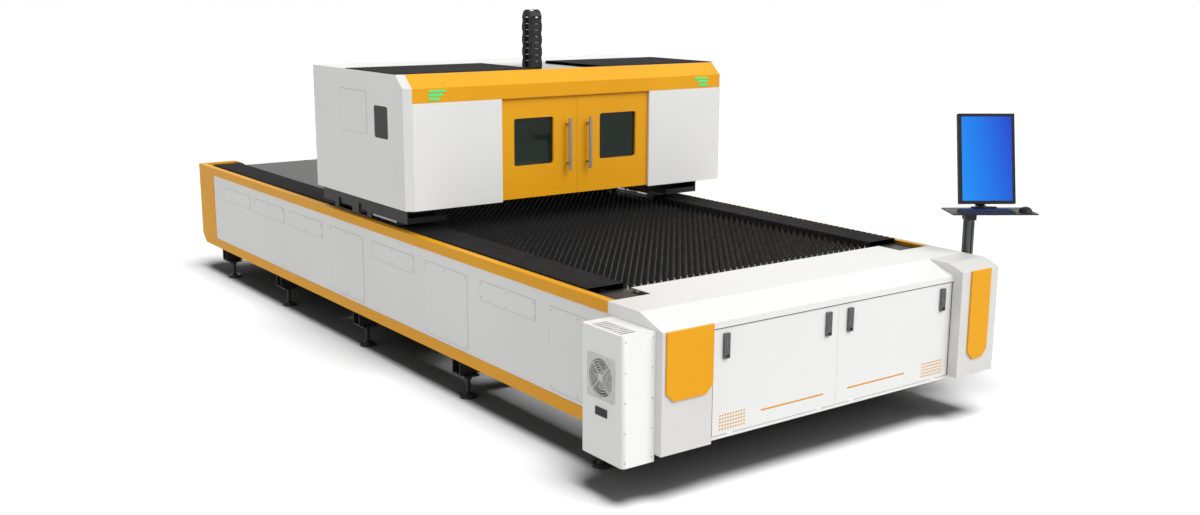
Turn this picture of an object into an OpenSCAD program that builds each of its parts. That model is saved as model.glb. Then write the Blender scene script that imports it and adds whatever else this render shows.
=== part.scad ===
// Gantry laser cutting machine with a slatted table, a closed cutting cabin
// that travels along the bed, a front control cabinet and an operator console.
// Front towards -Y, floor at z = 0, millimetres.

/* [Bed] */
// Width of the bed over its side skirts
bed_w = 2565; // [2400:5:2800]
// Length of the bed from the cabinet front to the rear end
bed_l = 6830; // [6600:10:7600]
// Height of the bed's top edge above the floor
bed_top = 996; // [940:2:1060]
// Height of the side skirts' lower edge above the floor
skirt_z = 271; // [240:1:300]
// Depth of the folded side skirts
skirt_t = 27.5; // [20:0.5:32]
// Thickness of folded sheet metal
sheet_t = 3; // [2:0.5:4]
// Width of each rail beam
beam_w = 265; // [250:1:275]
// Wall thickness of the rail beams and cross members
beam_wall = 12; // [8:1:16]
// Depth of the rail trough below the bed's top edge
trough_d = 56; // [52:1:64]
// Width of the lip folded over the top of each side
lip_w = 50; // [36:1:54]
// Height of the coloured band along the top of each side
top_band = 68; // [50:1:90]
// Height of the coloured band along the bottom of each side
bottom_band = 75; // [50:1:90]
// Length of the coloured band at the rear of each side
rear_band = 355; // [250:5:420]
// Chamfer at the lower rear corner of each side
rear_chamfer = 80; // [40:1:120]
// Distance from the rear panel to the rear end of the rail beams
rear_recess = 230; // [150:5:280]
// Width of the two rail ends that stand out at the rear
rail_end_w = 340; // [320:1:380]

/* [Legs] */
// Place of the first leg channel behind the cabinet front
first_leg_y = 664; // [600:2:720]
// Distance of the last leg channel from the bed's rear end
last_leg_in = 472; // [420:2:520]
// How much shorter the last bay between leg channels is
last_bay_less = 210; // [0:2:300]
// Width of a leg channel
leg_w = 100; // [80:1:120]
// Height of a leg channel
leg_h = 110; // [80:1:130]
// Wall thickness of a leg channel
leg_wall = 8; // [5:0.5:10]
// Height of the cross members between the rail beams
cross_h = 160; // [120:2:220]
// Distance of the levelling feet from the bed's side
foot_inset = 100; // [80:1:130]
// Radius of a levelling foot's pad
foot_r = 55; // [45:1:65]
// Thickness of a levelling foot's pad
foot_h = 24; // [16:1:32]
// Radius of a levelling foot's screw
stem_r = 16; // [12:0.5:20]
// Width of the square plate that each levelling screw passes
foot_plate_w = 110; // [90:1:130]
// Thickness of that plate
foot_plate_t = 14; // [10:1:18]
// Width across the flats of the levelling nut
nut_af = 50; // [44:1:58]
// Thickness of the levelling nut
nut_h = 20; // [14:1:26]

/* [Side hatches] */
// Middle of the first service hatch
hatch_first_y = 740; // [730:1:780]
// Spacing of the service hatches
hatch_pitch = 737; // [700:1:740]
// Width of a low hatch
hatch_low_w = 620; // [500:2:660]
// Height of a low hatch
hatch_low_h = 118; // [80:1:160]
// Width of a tall hatch
hatch_tall_w = 548; // [440:2:560]
// Height of a tall hatch
hatch_tall_h = 478; // [400:2:490]
// Distance from the bed's top edge to the hatches
hatch_drop = 144; // [130:1:155]
// Thickness of a hatch plate
hatch_t = 3; // [2:0.5:4]
// Depth of the side panels behind the coloured bands
panel_sink = 6; // [4:0.5:8]

/* [Table] */
// Front end of the slatted table
table_y = 656; // [650:1:670]
// Length of the flat deck behind the slatted table
deck_l = 2316; // [2000:2:2600]
// Spacing of the slats
slat_pitch = 58; // [50:1:75]
// Thickness of a slat
slat_t = 4; // [3:0.5:6]
// Height of a slat over its teeth
slat_h = 110; // [90:1:130]
// Spacing of the teeth along a slat
tooth_pitch = 84; // [70:1:110]
// Height of a tooth
tooth_h = 42; // [30:1:50]
// Depth of the tooth tips below the bed's top edge
slat_drop = 8; // [4:0.5:14]
// Thickness of the slotted slat holders
comb_t = 10; // [8:0.5:12]
// Height of the slat holders
comb_h = 90; // [80:1:110]
// Depth of the slots that hold the slats
slot_d = 40; // [30:1:50]
// Gap between the slat ends and the rail beams
slat_end_gap = 10; // [6:1:14]
// Thickness of the deck plates
deck_t = 5; // [3:0.5:6]
// Depth of the rear deck below the bed's top edge
deck_drop = 12; // [6:1:18]
// Depth of the corner plates below the bed's top edge
corner_drop = 20; // [14:1:26]

/* [Rails and bellows] */
// Distance of each guide rail's middle from the bed's side
rail_inset = 175; // [170:1:180]
// Width of a guide rail
rail_w = 45; // [35:1:55]
// Height of a guide rail
rail_h = 40; // [34:1:42]
// Width of a gear rack
rack_w = 18; // [14:1:20]
// Height of a gear rack
rack_h = 25; // [20:1:28]
// Gap between a bearing block and the rack
rack_gap = 4.5; // [3:0.5:6]
// Height of the bellows' folds above the bed's top edge
bellows_rise = 12; // [6:1:18]
// Spacing of the folds of the rail bellows
pleat_pitch = 37.5; // [32:0.5:60]
// Depth of a fold
pleat_d = 14; // [10:0.5:16]
// Opening between two folds at the top
pleat_gap = 8; // [4:0.5:12]
// Wall thickness of the bellows
bellows_wall = 10; // [8:0.5:14]
// Front end of the front bellows
bellows_y = 710; // [700:1:730]
// Length of the cover plate behind the rear bellows
rear_plate_l = 222; // [200:2:240]

/* [Front cabinet] */
// Depth of the front cabinet
cab_l = 460; // [430:2:490]
// Rear edge of the front cover beside the table
cover_y = 635; // [600:1:640]
// Width of the corner notches in the front cover
notch_w = 288; // [280:1:292]
// Start of the front cover's slope
slope_y = 193; // [150:1:240]
// Drop of the slope
slope_drop = 69; // [50:1:90]
// Height of the apron above the doors
apron_h = 35; // [25:1:50]
// Width of each corner pillar
pillar_w = 336; // [300:1:360]
// Height of the left pillar's lower edge above the floor
left_pillar_z = 272; // [250:1:290]
// Height of the right pillar's lower edge above the floor
right_pillar_z = 304; // [280:1:320]
// Distance that the right pillar stands forward
right_step = 68; // [40:1:90]
// Height of the right pillar's front edge below the bed's top
right_drop = 39; // [30:1:50]
// Height of the door sill above the floor
sill_z = 304; // [290:1:320]
// Height of the sill section
sill_h = 15; // [10:1:20]
// Thickness of a cabinet door
cdoor_t = 20; // [16:1:24]
// Depth of the doors behind the cabinet front
cdoor_inset = 6; // [4:0.5:8]
// Place of the seam between the doors, from the bed's middle
cdoor_seam = -20; // [-60:2:60]
// Radius of a door's hinge pins
hinge_r = 4; // [3:0.25:5]
// Width of a hinge lug on the sill
lug_w = 40; // [30:1:60]
// Length of the pin beyond each side of its lug
hinge_pin_l = 18; // [12:1:24]
// Distance of the hinge lugs from the door's ends
lug_inset = 130; // [100:2:200]
// Width of the mullion behind the door seam
mullion_w = 60; // [40:2:80]
// Depth of the mullion
mullion_d = 40; // [30:2:60]
// Columns of vent holes in a door
vent_cols = 10; // [6:1:12]
// Rows of vent holes in a door
vent_rows = 5; // [3:1:6]
// Spacing of the vent holes
vent_pitch = 19; // [16:0.5:22]
// Width of a vent hole
vent_w = 9; // [6:0.5:11]
// Depth of a vent hole
vent_d = 4; // [2:0.5:6]
// Distance of the vents from the door's outer and lower edges
vent_inset = 58; // [40:1:80]

/* [Latches] */
// Width of a latch
latch_w = 38; // [34:1:56]
// Height of a latch
latch_h = 135; // [120:1:150]
// Depth of a latch
latch_d = 16; // [14:0.5:20]
// Wall thickness of a latch tray
latch_wall = 5; // [4:0.5:6]
// Distance of the latches from a door's ends
latch_inset = 85; // [70:1:110]
// Distance of the latches below the door's top edge
latch_drop = 28; // [20:1:40]
// Radius of a latch pin
latch_pin_r = 2.5; // [2:0.25:3]
// Thickness of a latch lever
lever_t = 10; // [8:0.5:12]

/* [Trim plates] */
// Width of the left trim plate
left_trim_w = 310; // [280:1:330]
// Height of the left trim plate
left_trim_h = 369; // [320:1:420]
// Width of the right trim plate
right_trim_w = 180; // [150:1:220]
// Height of the right trim plate
right_trim_h = 550; // [480:1:600]
// Thickness of the trim plates
trim_t = 12; // [8:1:16]
// Corner cut of the trim plates
trim_cut = 48; // [30:1:60]

/* [Cooler] */
// Depth of the cabinet cooler away from the bed
cool_d = 202; // [180:1:220]
// Width of the cooler along the bed
cool_w = 362; // [340:1:380]
// Height of the cooler
cool_h = 690; // [640:2:720]
// Front face of the cooler behind the cabinet front
cool_y = 56; // [40:1:70]
// Height of the cooler's lower edge above the floor
cool_z = 234; // [225:1:250]
// Rounding of the cooler's upright edges
cool_r = 22; // [12:1:30]
// Thickness of the cooler's sheet
cool_t = 2.5; // [2:0.5:4]
// Height of the fan's middle above the cooler's lower edge
fan_up = 438; // [420:1:460]
// Radius of the fan opening
fan_hole_r = 98; // [90:1:104]
// Radius of the fan blades
fan_r = 92; // [80:1:94]
// Number of fan blades
fan_blades = 7; // [5:1:9]
// Length of the fan hub
fan_hub_l = 26; // [20:1:32]
// Radius of the fan hub
fan_hub_r = 36; // [28:1:44]
// Radius of the fan shaft
fan_shaft_r = 5; // [4:0.5:7]
// Width of the fan grille
grille_w = 230; // [220:1:240]
// Thickness of the fan grille
grille_t = 8; // [6:0.5:10]
// Border of the fan grille
grille_rim = 14; // [10:1:18]
// Number of louvre bars in the grille
grille_bars = 13; // [9:1:16]
// Height of a louvre bar
grille_bar_h = 7; // [5:0.5:9]
// Width of the temperature display
display_w = 100; // [80:1:120]
// Height of the temperature display
display_h = 44; // [36:1:56]

/* [Console] */
// Distance of the console post's middle from the bed's side
post_out = 100; // [90:1:120]
// Place of the console post behind the cabinet front
post_y = 248; // [230:1:270]
// Width of the console post
post_w = 50; // [44:1:90]
// Height of the console post's lower end above the floor
post_z = 560; // [500:5:620]
// Height of the console post's top above the floor
post_top = 1186; // [1100:2:1260]
// Height of the bracket arms
arm_h = 60; // [50:1:80]
// Height of the swivel collar
collar_h = 54; // [40:1:64]
// Radius of the swivel spigot
spigot_r = 20; // [16:0.5:24]
// Width of the keyboard tray
tray_w = 535; // [480:5:600]
// Depth of the keyboard tray
tray_d = 240; // [220:2:280]
// Thickness of the keyboard tray
tray_t = 8; // [6:0.5:10]
// Sideways distance from the post to the tray's middle
tray_side = 112; // [90:1:130]
// Distance of the tray's middle in front of the post
tray_front = 37; // [30:1:50]
// Angle that the console is turned towards the operator
console_yaw = -33.75; // [-60:0.25:-10]
// Width of the monitor
monitor_w = 358; // [320:1:380]
// Height of the monitor
monitor_h = 570; // [500:1:600]
// Thickness of the monitor
monitor_t = 36; // [30:1:45]
// Backward tilt of the monitor
monitor_tilt = 14; // [6:0.5:20]
// Border round the screen
bezel = 14; // [10:0.5:20]
// Height of the monitor's lower edge above the tray
monitor_up = 37; // [34:1:50]
// Place of the monitor's lower edge behind the tray's middle
monitor_back = 40; // [36:1:46]
// Height of the tilt pivot above the tray
pivot_up = 300; // [260:2:340]
// Radius of the tilt pivot
pivot_r = 6; // [5:0.5:7]
// Width of the keyboard
keyboard_w = 330; // [300:1:350]
// Depth of the keyboard
keyboard_d = 112; // [100:1:116]

/* [Gantry] */
// Height of the gantry beam above the cabin's lower edge
beam_lift = 14; // [10:1:20]
// Front face of the gantry beam
beam_y = 2900; // [2880:1:2920]
// Depth of the gantry beam
gantry_d = 400; // [340:2:440]
// Height of the gantry beam
gantry_h = 440; // [400:2:480]
// Distance of the gantry beam's ends inside the end carriages' outer faces
beam_end = 6.5; // [0:0.5:10]
// Wall thickness of the gantry beam
gantry_wall = 12; // [8:1:16]
// Gap between the bed's top edge and the end carriages
saddle_up = 50; // [46:1:60]
// Thickness of an end carriage's saddle plate
saddle_t = 40; // [30:1:45]
// Width of a saddle plate
saddle_w = 286; // [270:1:292]
// Front edge of the end carriages
saddle_y = 2756; // [2700:2:2780]
// Length of the end carriages
saddle_l = 1344; // [1300:2:1400]
// Height of an end carriage's outer cheek
cheek_h = 120; // [110:1:130]
// Thickness of the outer cheek
cheek_t = 10; // [8:0.5:12]
// Distance of the cheek inside the bed's side
cheek_in = 26; // [20:1:30]
// Length of the cheek's lower lobe
lobe_l = 600; // [560:2:640]
// Height of the cheek's openings
cheek_win_h = 74; // [60:1:78]
// Length of the cheek's front opening
cheek_win_1 = 133; // [110:1:150]
// Length of the cheek's rear opening
cheek_win_2 = 225; // [200:1:240]
// Border of the cheek's openings
cheek_rim = 66; // [50:1:80]
// Length of a bearing block
block_l = 140; // [120:1:150]
// Width of a bearing block
block_w = 120; // [110:1:124]
// Front face of the front bearing blocks
block_y = 2950; // [2940:1:2960]
// Distance between the two bearing blocks of a side
block_span = 760; // [720:2:780]
// Place of the drive pinions along the bed
pinion_y = 3600; // [3560:2:3640]
// Radius of a drive pinion
pinion_r = 22; // [20:0.5:23]
// Height of a drive pinion
pinion_h = 24; // [18:1:26]
// Radius of a pinion shaft
pinion_shaft_r = 9; // [7:0.5:11]
// Width of a drive gearbox
gearbox_w = 60; // [50:1:64]
// Height of a drive gearbox
gearbox_h = 64; // [50:1:80]
// Radius of a drive motor
motor_r = 32; // [26:1:34]
// Height of a drive motor
motor_h = 220; // [160:2:260]
// Height of a cross rail
cross_rail_h = 28; // [24:1:34]
// Depth of a cross rail
cross_rail_d = 26; // [22:1:30]
// Distance of the cross rails from the beam's edges
cross_rail_in = 80; // [70:1:100]

/* [Cabin] */
// How far the cabin stands out over each side of the bed
cabin_over = 65; // [48:1:98]
// Front plane of the cabin
cabin_y = 2556; // [2540:1:2570]
// Rear plane of the cabin
cabin_back_y = 3990; // [3960:2:4060]
// Height of the cabin's lower edge above the bed's top edge
cabin_up = 170; // [168:1:174]
// Height of the cabin
cabin_h = 880; // [860:2:920]
// Bevel at the cabin's front corners
cabin_bevel = 45; // [30:1:60]
// Height of the canopy's front face
canopy_h = 97; // [80:1:120]
// Rise of the canopy's slope
canopy_rise = 83; // [70:1:95]
// Depth of the canopy's slope
canopy_d = 94; // [80:1:110]
// Depth of the roof opening that the bellows close
roof_gap = 754; // [730:2:800]
// Width of the ledges that carry the roof bellows
ledge_w = 36; // [28:1:44]
// Depth of the ledges below the roof
ledge_drop = 26; // [22:1:32]
// Width of the door opening
opening_w = 1258; // [1200:2:1320]
// Depth of the folded edges beside the door opening
fold_d = 20; // [14:1:22]
// Width of a side window
side_win_w = 200; // [160:2:240]
// Height of a side window
side_win_h = 216; // [180:2:260]
// Middle of a side window behind the cabin's front
side_win_y = 365; // [340:1:390]
// Height of a side window's middle above the cabin's lower edge
side_win_up = 555; // [520:1:580]
// Width of a side hatch on the cabin
cab_hatch_w = 414; // [360:2:440]
// Height of a side hatch on the cabin
cab_hatch_h = 285; // [240:1:320]
// Middle of a side hatch behind the cabin's front
cab_hatch_y = 783; // [770:1:820]
// Height of a side hatch's middle above the cabin's lower edge
cab_hatch_up = 600; // [560:1:640]
// Length of a status lamp bar
lamp_w = 130; // [100:1:150]
// Height of a status lamp bar
lamp_h = 14; // [10:0.5:18]
// Spacing of the status lamp bars
lamp_pitch = 25; // [22:0.5:28]
// Distance of the status lamps from the canopy's ends
lamp_inset = 120; // [100:1:160]
// Thickness of the lamp bars
lamp_t = 4; // [3:0.5:6]

/* [Cabin doors] */
// Thickness of a sliding door
sdoor_t = 24; // [20:1:28]
// Overlap of a door behind its front panel
sdoor_lap = 40; // [30:1:60]
// Gap between the doors' lower edge and the cabin's
sdoor_up = 8; // [4:1:14]
// Overlap of the doors behind the canopy
sdoor_top = 14; // [10:1:24]
// Width of a door window
win_w = 322; // [280:2:360]
// Height of a door window
win_h = 326; // [280:2:360]
// Middle of a door window from the seam
win_x = 360; // [330:1:390]
// Height of a window's middle above the door's lower edge
win_up = 388; // [360:1:420]
// Corner rounding of the windows
win_r = 18; // [10:1:26]
// Thickness of the window panes
glass_t = 5; // [4:0.5:8]
// Seating border of the panes
glass_lap = 12; // [8:1:18]
// Distance of a handle from the door seam
handle_x = 87; // [70:1:110]
// Length of a handle
handle_l = 364; // [300:2:420]
// Radius of a handle bar
handle_r = 12; // [9:0.5:15]
// Distance of the handle bar in front of the door
handle_out = 45; // [36:1:56]
// Distance of the handle's posts from its ends
handle_end = 46; // [30:1:60]
// Height of the handle's middle above the door's lower edge
handle_up = 354; // [330:1:380]

/* [Carriage and head] */
// Place of the carriage's roof plate from the bed's middle
carriage_x = 30; // [-60:2:60]
// Width of the carriage's roof plate
roof_plate_w = 570; // [520:2:620]
// Distance of the cutting head's axis from the roof plate's middle
head_x = 400; // [360:2:420]
// Thickness of the carriage plate
car_plate_t = 20; // [16:1:24]
// Gap between the carriage plate and the gantry beam
car_gap = 80; // [76:1:90]
// Height of the carriage plate
car_plate_h = 470; // [440:2:480]
// Length of a carriage bearing block
car_block_l = 110; // [90:1:130]
// Height of a carriage bearing block
car_block_h = 64; // [54:1:72]
// Width of a lift rail
lift_rail_w = 24; // [20:1:28]
// Depth of a lift rail
lift_rail_d = 17; // [14:1:20]
// Spacing of the two lift rails
lift_rail_span = 140; // [120:1:160]
// Thickness of the lift plate
lift_t = 20; // [16:1:24]
// Width of the lift plate
lift_w = 280; // [260:2:300]
// Height of the lift plate
lift_h = 300; // [260:2:320]
// Width of the cutting head's body
head_w = 104; // [90:1:120]
// Depth of the cutting head's body
head_d = 80; // [76:1:90]
// Height of the cutting head's body
head_h = 170; // [150:1:190]
// Radius of the cutting head's barrel
barrel_r = 35; // [30:1:37]
// Length of the cutting head's barrel
barrel_l = 200; // [180:2:210]
// Length of the cone under the barrel
cone_l = 70; // [50:1:80]
// Radius at the lower end of the cone
cone_r = 14; // [12:0.5:18]
// Length of the nozzle
nozzle_l = 44; // [36:1:50]
// Height of the nozzle above the slats
nozzle_up = 74; // [70:1:110]

/* [Cable chain] */
// Width of the cable chain
chain_w = 90; // [76:1:160]
// Height of a chain link
chain_h = 34; // [30:1:44]
// Spacing of the chain's joints
chain_pitch = 43; // [38:1:56]
// Links along each straight run of the chain
chain_run = 8; // [4:1:9]
// Links round the chain's bend
chain_bend = 3; // [3:1:6]
// Thickness of a link's side plates
link_t = 5; // [4:0.5:8]
// Radius of a link's joint pins
link_pin_r = 4; // [3:0.5:6]
// Thickness of the lid that closes a link's outer side
lid_t = 3; // [2:0.5:4]
// Distance of the chain's middle left of the roof plate's middle
chain_x = 195; // [180:1:214]
// Place of the chain's front run behind the cabin's front
chain_y = 300; // [290:1:330]

/* [Clearances] */
// Running gap between flat sliding faces
slide_gap = 0.3; // [0.3:0.05:0.6]
// Radial gap between a pin and its bore
pin_gap = 0.08; // [0.05:0.01:0.1]
// Gap round doors, panels and windows
panel_gap = 1.5; // [1:0.25:2]

/* [Hidden] */
$fn = 40;
paint_white = "#EDEDEA";
paint_orange = "#EFA92C";
steel_black = "#232425";
steel_dark = "#3A3C3E";
steel_grey = "#6E7072";
steel_bright = "#B8BABC";
half_w = bed_w / 2;
// Rail beams
beam_x1 = half_w - skirt_t;
beam_x0 = beam_x1 - beam_w;
seat_z = bed_top - trough_d;
rear_y = bed_l - rear_recess;
rail_end_x = half_w - rail_end_w;
// Legs
last_leg_y = bed_l - last_leg_in;
leg_pitch = (last_leg_y - first_leg_y + last_bay_less) / 4;
leg_ys = [for (i = [0:3]) first_leg_y + i * leg_pitch, last_leg_y];
leg_z = skirt_z - leg_h;
foot_x = half_w - foot_inset;
foot_dy = -(leg_w - foot_plate_w) / 2 - foot_plate_w / 2 + leg_w / 4;
// Table
tip_z = bed_top - slat_drop;
slat_z = tip_z - slat_h;
slat_half = beam_x0 - slat_end_gap;
slat_n = floor((rear_y - skirt_t - deck_l - table_y) / slat_pitch) + 1;
tooth_n = floor(2 * slat_half / tooth_pitch);
tooth_edge = (2 * slat_half - tooth_n * tooth_pitch) / 2;
table_end = table_y + (slat_n - 1) * slat_pitch + slat_t;
comb_x1 = slat_half - slat_end_gap;
comb_z = slat_z + slot_d - comb_h;
comb_over = 20;
// Rails
rail_x = half_w - rail_inset;
rail_y0 = bellows_y + pleat_pitch;
rail_y1 = bed_l - skirt_t - rear_plate_l;
rack_x0 = rail_x + block_w / 2 + rack_gap;
pinion_x = rack_x0 + rack_w + slide_gap + pinion_r;
bellows_x0 = beam_x0 + slide_gap;
bellows_w = half_w - lip_w - bellows_x0;
bellows_top = bed_top + bellows_rise;
// Front
pillar_x = half_w - pillar_w;
slope_z = bed_top - slope_drop;
apron_z = slope_z - apron_h;
slope_k = slope_drop / slope_y;
cdoor_z0 = sill_z + 4;
cdoor_z1 = apron_z - sheet_t - panel_gap;
cdoor_y0 = cdoor_inset;
hinge_y = cdoor_y0 + 7;
hinge_z = cdoor_z0 + 8;
// The mullion stands clear of the arc that the door's inner lower edge sweeps.
mullion_y0 = hinge_y + norm([cdoor_y0 + cdoor_t - hinge_y, hinge_z - cdoor_z0]) + slide_gap;
cdoor_left = [-pillar_x + sheet_t + panel_gap, cdoor_seam - panel_gap / 2];
cdoor_right = [cdoor_seam + panel_gap / 2, pillar_x - sheet_t - panel_gap];
latch_z1 = cdoor_z1 - latch_drop;
latch_y0 = cdoor_y0 - latch_d;
latch_xs = [
  cdoor_left[0] + latch_inset, cdoor_left[1] - latch_inset,
  cdoor_right[0] + latch_inset, cdoor_right[1] - latch_inset
];
lever_y = latch_y0 + lever_t / 2;
lever_z = latch_z1 - latch_wall - lever_t / 2 - 1;
// Cooler
cool_x = -half_w - cool_d;
fan_y = cool_y + cool_w / 2;
fan_z = cool_z + fan_up;
fan_x0 = cool_x + cool_t + 12;
fan_plate_x = fan_x0 + fan_hub_l + 40;
// Console
post_x = half_w + post_out;
tray_z = post_top + collar_h;
pivot_lug_r = pivot_r + 11;
pivot_y = monitor_back + (pivot_up - monitor_up) * tan(monitor_tilt)
  + monitor_t / cos(monitor_tilt) + pivot_lug_r - 3;
// Gantry
saddle_z = bed_top + saddle_up;
saddle_top = saddle_z + saddle_t;
cheek_x1 = half_w - cheek_in;
cheek_x0 = cheek_x1 - cheek_t;
cabin_z = bed_top + cabin_up;
gantry_half = cheek_x1 - beam_end;
gantry_z = cabin_z + beam_lift;
gantry_top = gantry_z + gantry_h;
block_ys = [block_y, block_y + block_span];
cross_rail_zs = [gantry_z + cross_rail_in, gantry_top - cross_rail_in];
// Cabin
cabin_half = bed_w / 2 + cabin_over;
roof_z = cabin_z + cabin_h;
front_half = cabin_half - cabin_bevel;
canopy_z0 = roof_z - canopy_rise - canopy_h;
roof_y0 = cabin_y + canopy_d + cabin_bevel + 1;
roof_y1 = roof_y0 + roof_gap;
ledge_z = roof_z - ledge_drop;
// Cabin doors
sdoor_y = cabin_y + fold_d + 2;
sdoor_z0 = cabin_z + sdoor_up;
sdoor_z1 = canopy_z0 + sdoor_top;
sdoor_half = opening_w / 2 + sdoor_lap;
// Carriage
car_y1 = beam_y - car_gap;
car_y0 = car_y1 - car_plate_t;
car_x0 = carriage_x - roof_plate_w / 2;
car_x1 = carriage_x + roof_plate_w / 2;
head_ax = carriage_x + head_x;
car_z0 = gantry_z + cross_rail_in - car_block_h / 2;
lift_y1 = car_y0 - lift_rail_d - 8;
lift_y0 = lift_y1 - lift_t;
head_ay = lift_y0 - head_d / 2;
nozzle_z = tip_z + nozzle_up;
barrel_z = nozzle_z + nozzle_l + cone_l;
body_z = barrel_z + barrel_l;
lift_z = body_z - 40;
// Chain
chain_r = chain_bend * chain_pitch / PI;
chain_front = cabin_y + chain_y;
chain_z = ledge_z + sheet_t + slide_gap + 8 + chain_h / 2;
chain_ax = carriage_x - chain_x;
chain_n = 2 * chain_run + chain_bend;
// The middle of the whole outline, where the origin lies
tray_reach_x = tray_w / 2 * cos(console_yaw) + tray_d / 2 * sin(-console_yaw);
tray_reach_y = tray_w / 2 * sin(-console_yaw) + tray_d / 2 * cos(console_yaw);
tray_mid_x = post_x + tray_side * cos(console_yaw) + tray_front * sin(console_yaw);
tray_mid_y = post_y + tray_side * sin(console_yaw) - tray_front * cos(console_yaw);
mid_x = (cool_x - grille_t + tray_mid_x + tray_reach_x) / 2;
mid_y = (min(tray_mid_y - tray_reach_y, -right_step - trim_t) + bed_l) / 2;

// A box given by two opposite corners
module block(a, b) {
  translate(a) cube(b - a);
}

// The child and its mirror image on the other side of the bed
module both_sides() {
  children();
  mirror([1, 0, 0]) children();
}

// A profile drawn in (y, z), extruded along x
module along_x(x0, x1) {
  translate([x0, 0, 0]) rotate([90, 0, 90]) linear_extrude(x1 - x0) children();
}

// A profile drawn in (x, z), extruded along y
module along_y(y0, y1) {
  translate([0, y1, 0]) rotate([90, 0, 0]) linear_extrude(y1 - y0) children();
}

// A rectangle with round corners, centred
module round_rect(w, h, r) {
  square([w - 2 * r, h], center = true);
  square([w, h - 2 * r], center = true);
  for (sx = [-1, 1], sy = [-1, 1])
    translate([sx * (w / 2 - r), sy * (h / 2 - r)]) circle(r);
}

// A hollow box section along y between two corners
module tube_y(a, b, wall) {
  difference() {
    block(a, b);
    block(a + [wall, -1, wall], b + [-wall, 1, -wall]);
  }
}

// A hollow box section along x between two corners
module tube_x(a, b, wall) {
  difference() {
    block(a, b);
    block(a + [-1, wall, wall], b + [1, -wall, -wall]);
  }
}

// Two rail beams and the cross members between them
module bed_frame() {
  color(steel_dark) {
    both_sides()
      tube_y([beam_x0, cab_l, skirt_z], [beam_x1, bed_l - skirt_t, seat_z], beam_wall);
    for (y = leg_ys)
      tube_x([-beam_x0, y - leg_w / 2, skirt_z],
         [beam_x0, y + leg_w / 2, skirt_z + cross_h], beam_wall);
  }
}

// Channels under the bed, each with two plates for the levelling screws
module leg_channels() {
  color(steel_black)
    for (y = leg_ys)
      difference() {
        union() {
          tube_x([-beam_x1, y - leg_w / 2, leg_z], [beam_x1, y + leg_w / 2, skirt_z], leg_wall);
          for (sx = [-1, 1])
            translate([sx * foot_x, y + foot_dy, leg_z - foot_plate_t / 2])
              cube([foot_plate_w, foot_plate_w, foot_plate_t], center = true);
        }
        for (sx = [-1, 1])
          translate([sx * foot_x, y + foot_dy, leg_z - foot_plate_t - 1])
            cylinder(r = stem_r + pin_gap, h = foot_plate_t + leg_wall + 2);
      }
}

// One levelling foot: pad, cone, screw and nut
module foot() {
  cylinder(r = foot_r, h = foot_h);
  translate([0, 0, foot_h]) cylinder(r1 = foot_r * 0.7, r2 = stem_r, h = foot_h * 0.6);
  cylinder(r = stem_r, h = leg_z + leg_wall + nut_h);
  translate([0, 0, leg_z - foot_plate_t - nut_h]) cylinder(d = nut_af / cos(30), h = nut_h, $fn = 6);
}

module levelling_feet() {
  color(steel_black)
    for (y = leg_ys, sx = [-1, 1])
      translate([sx * foot_x, y + foot_dy, 0]) foot();
}

// The outline of a coloured side frame, in (y, z)
module side_frame_outline() {
  difference() {
    polygon([
      [cab_l, skirt_z], [bed_l - rear_chamfer, skirt_z], [bed_l, skirt_z + rear_chamfer],
      [bed_l, bed_top], [cab_l, bed_top]
    ]);
    translate([cab_l - 1, skirt_z + bottom_band])
      square([bed_l - rear_band - cab_l + 1, bed_top - top_band - skirt_z - bottom_band]);
  }
}

// Folded frames along both sides, with a lip on top and a cap round each rail end
module side_frames() {
  color(paint_orange)
    both_sides() {
      along_x(beam_x1, half_w) side_frame_outline();
      block([half_w - lip_w, cab_l, bed_top - sheet_t], [beam_x1, bed_l, bed_top]);
      block([rail_end_x, bed_l - skirt_t, skirt_z + rear_chamfer], [beam_x1, bed_l, bed_top]);
      block([rail_end_x, rear_y, skirt_z + rear_chamfer],
         [rail_end_x + sheet_t, bed_l - skirt_t, bed_top]);
    }
}

// White panels inside the side frames, with their screwed hatches
module side_panels() {
  z0 = skirt_z + bottom_band + panel_gap;
  z1 = bed_top - top_band - panel_gap;
  hatch_z1 = bed_top - hatch_drop;
  hatch_n = floor((bed_l - rear_band - hatch_first_y - hatch_low_w / 2) / hatch_pitch) + 1;
  color(paint_white)
    both_sides() {
      block([beam_x1, cab_l, z0], [half_w - panel_sink, bed_l - rear_band - panel_gap, z1]);
      for (i = [0:hatch_n - 1]) {
        tall = i == 0 || i == 2 || i == 4;
        w = tall ? hatch_tall_w : hatch_low_w;
        h = tall ? hatch_tall_h : hatch_low_h;
        y = hatch_first_y + i * hatch_pitch;
        block([half_w - panel_sink, y - w / 2, hatch_z1 - h],
           [half_w - panel_sink + hatch_t, y + w / 2, hatch_z1]);
      }
    }
}

// Folded tray that closes the bed between the rail ends
module rear_panel() {
  color(paint_white)
    difference() {
      block([-rail_end_x, rear_y - skirt_t, skirt_z], [rail_end_x, rear_y, bed_top - corner_drop]);
      block([-rail_end_x + sheet_t, rear_y - skirt_t - 1, skirt_z + sheet_t],
         [rail_end_x - sheet_t, rear_y - sheet_t, bed_top - corner_drop - sheet_t]);
    }
}

// A cover plate with folded legs that stand on the rail beam
module corner_plate(x0, x1, y0, y1) {
  difference() {
    block([x0, y0, seat_z], [x1, y1, bed_top - corner_drop]);
    block([x0 + sheet_t, y0 - 1, seat_z - 1], [x1 - sheet_t, y1 + 1, bed_top - corner_drop - sheet_t]);
  }
}

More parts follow.
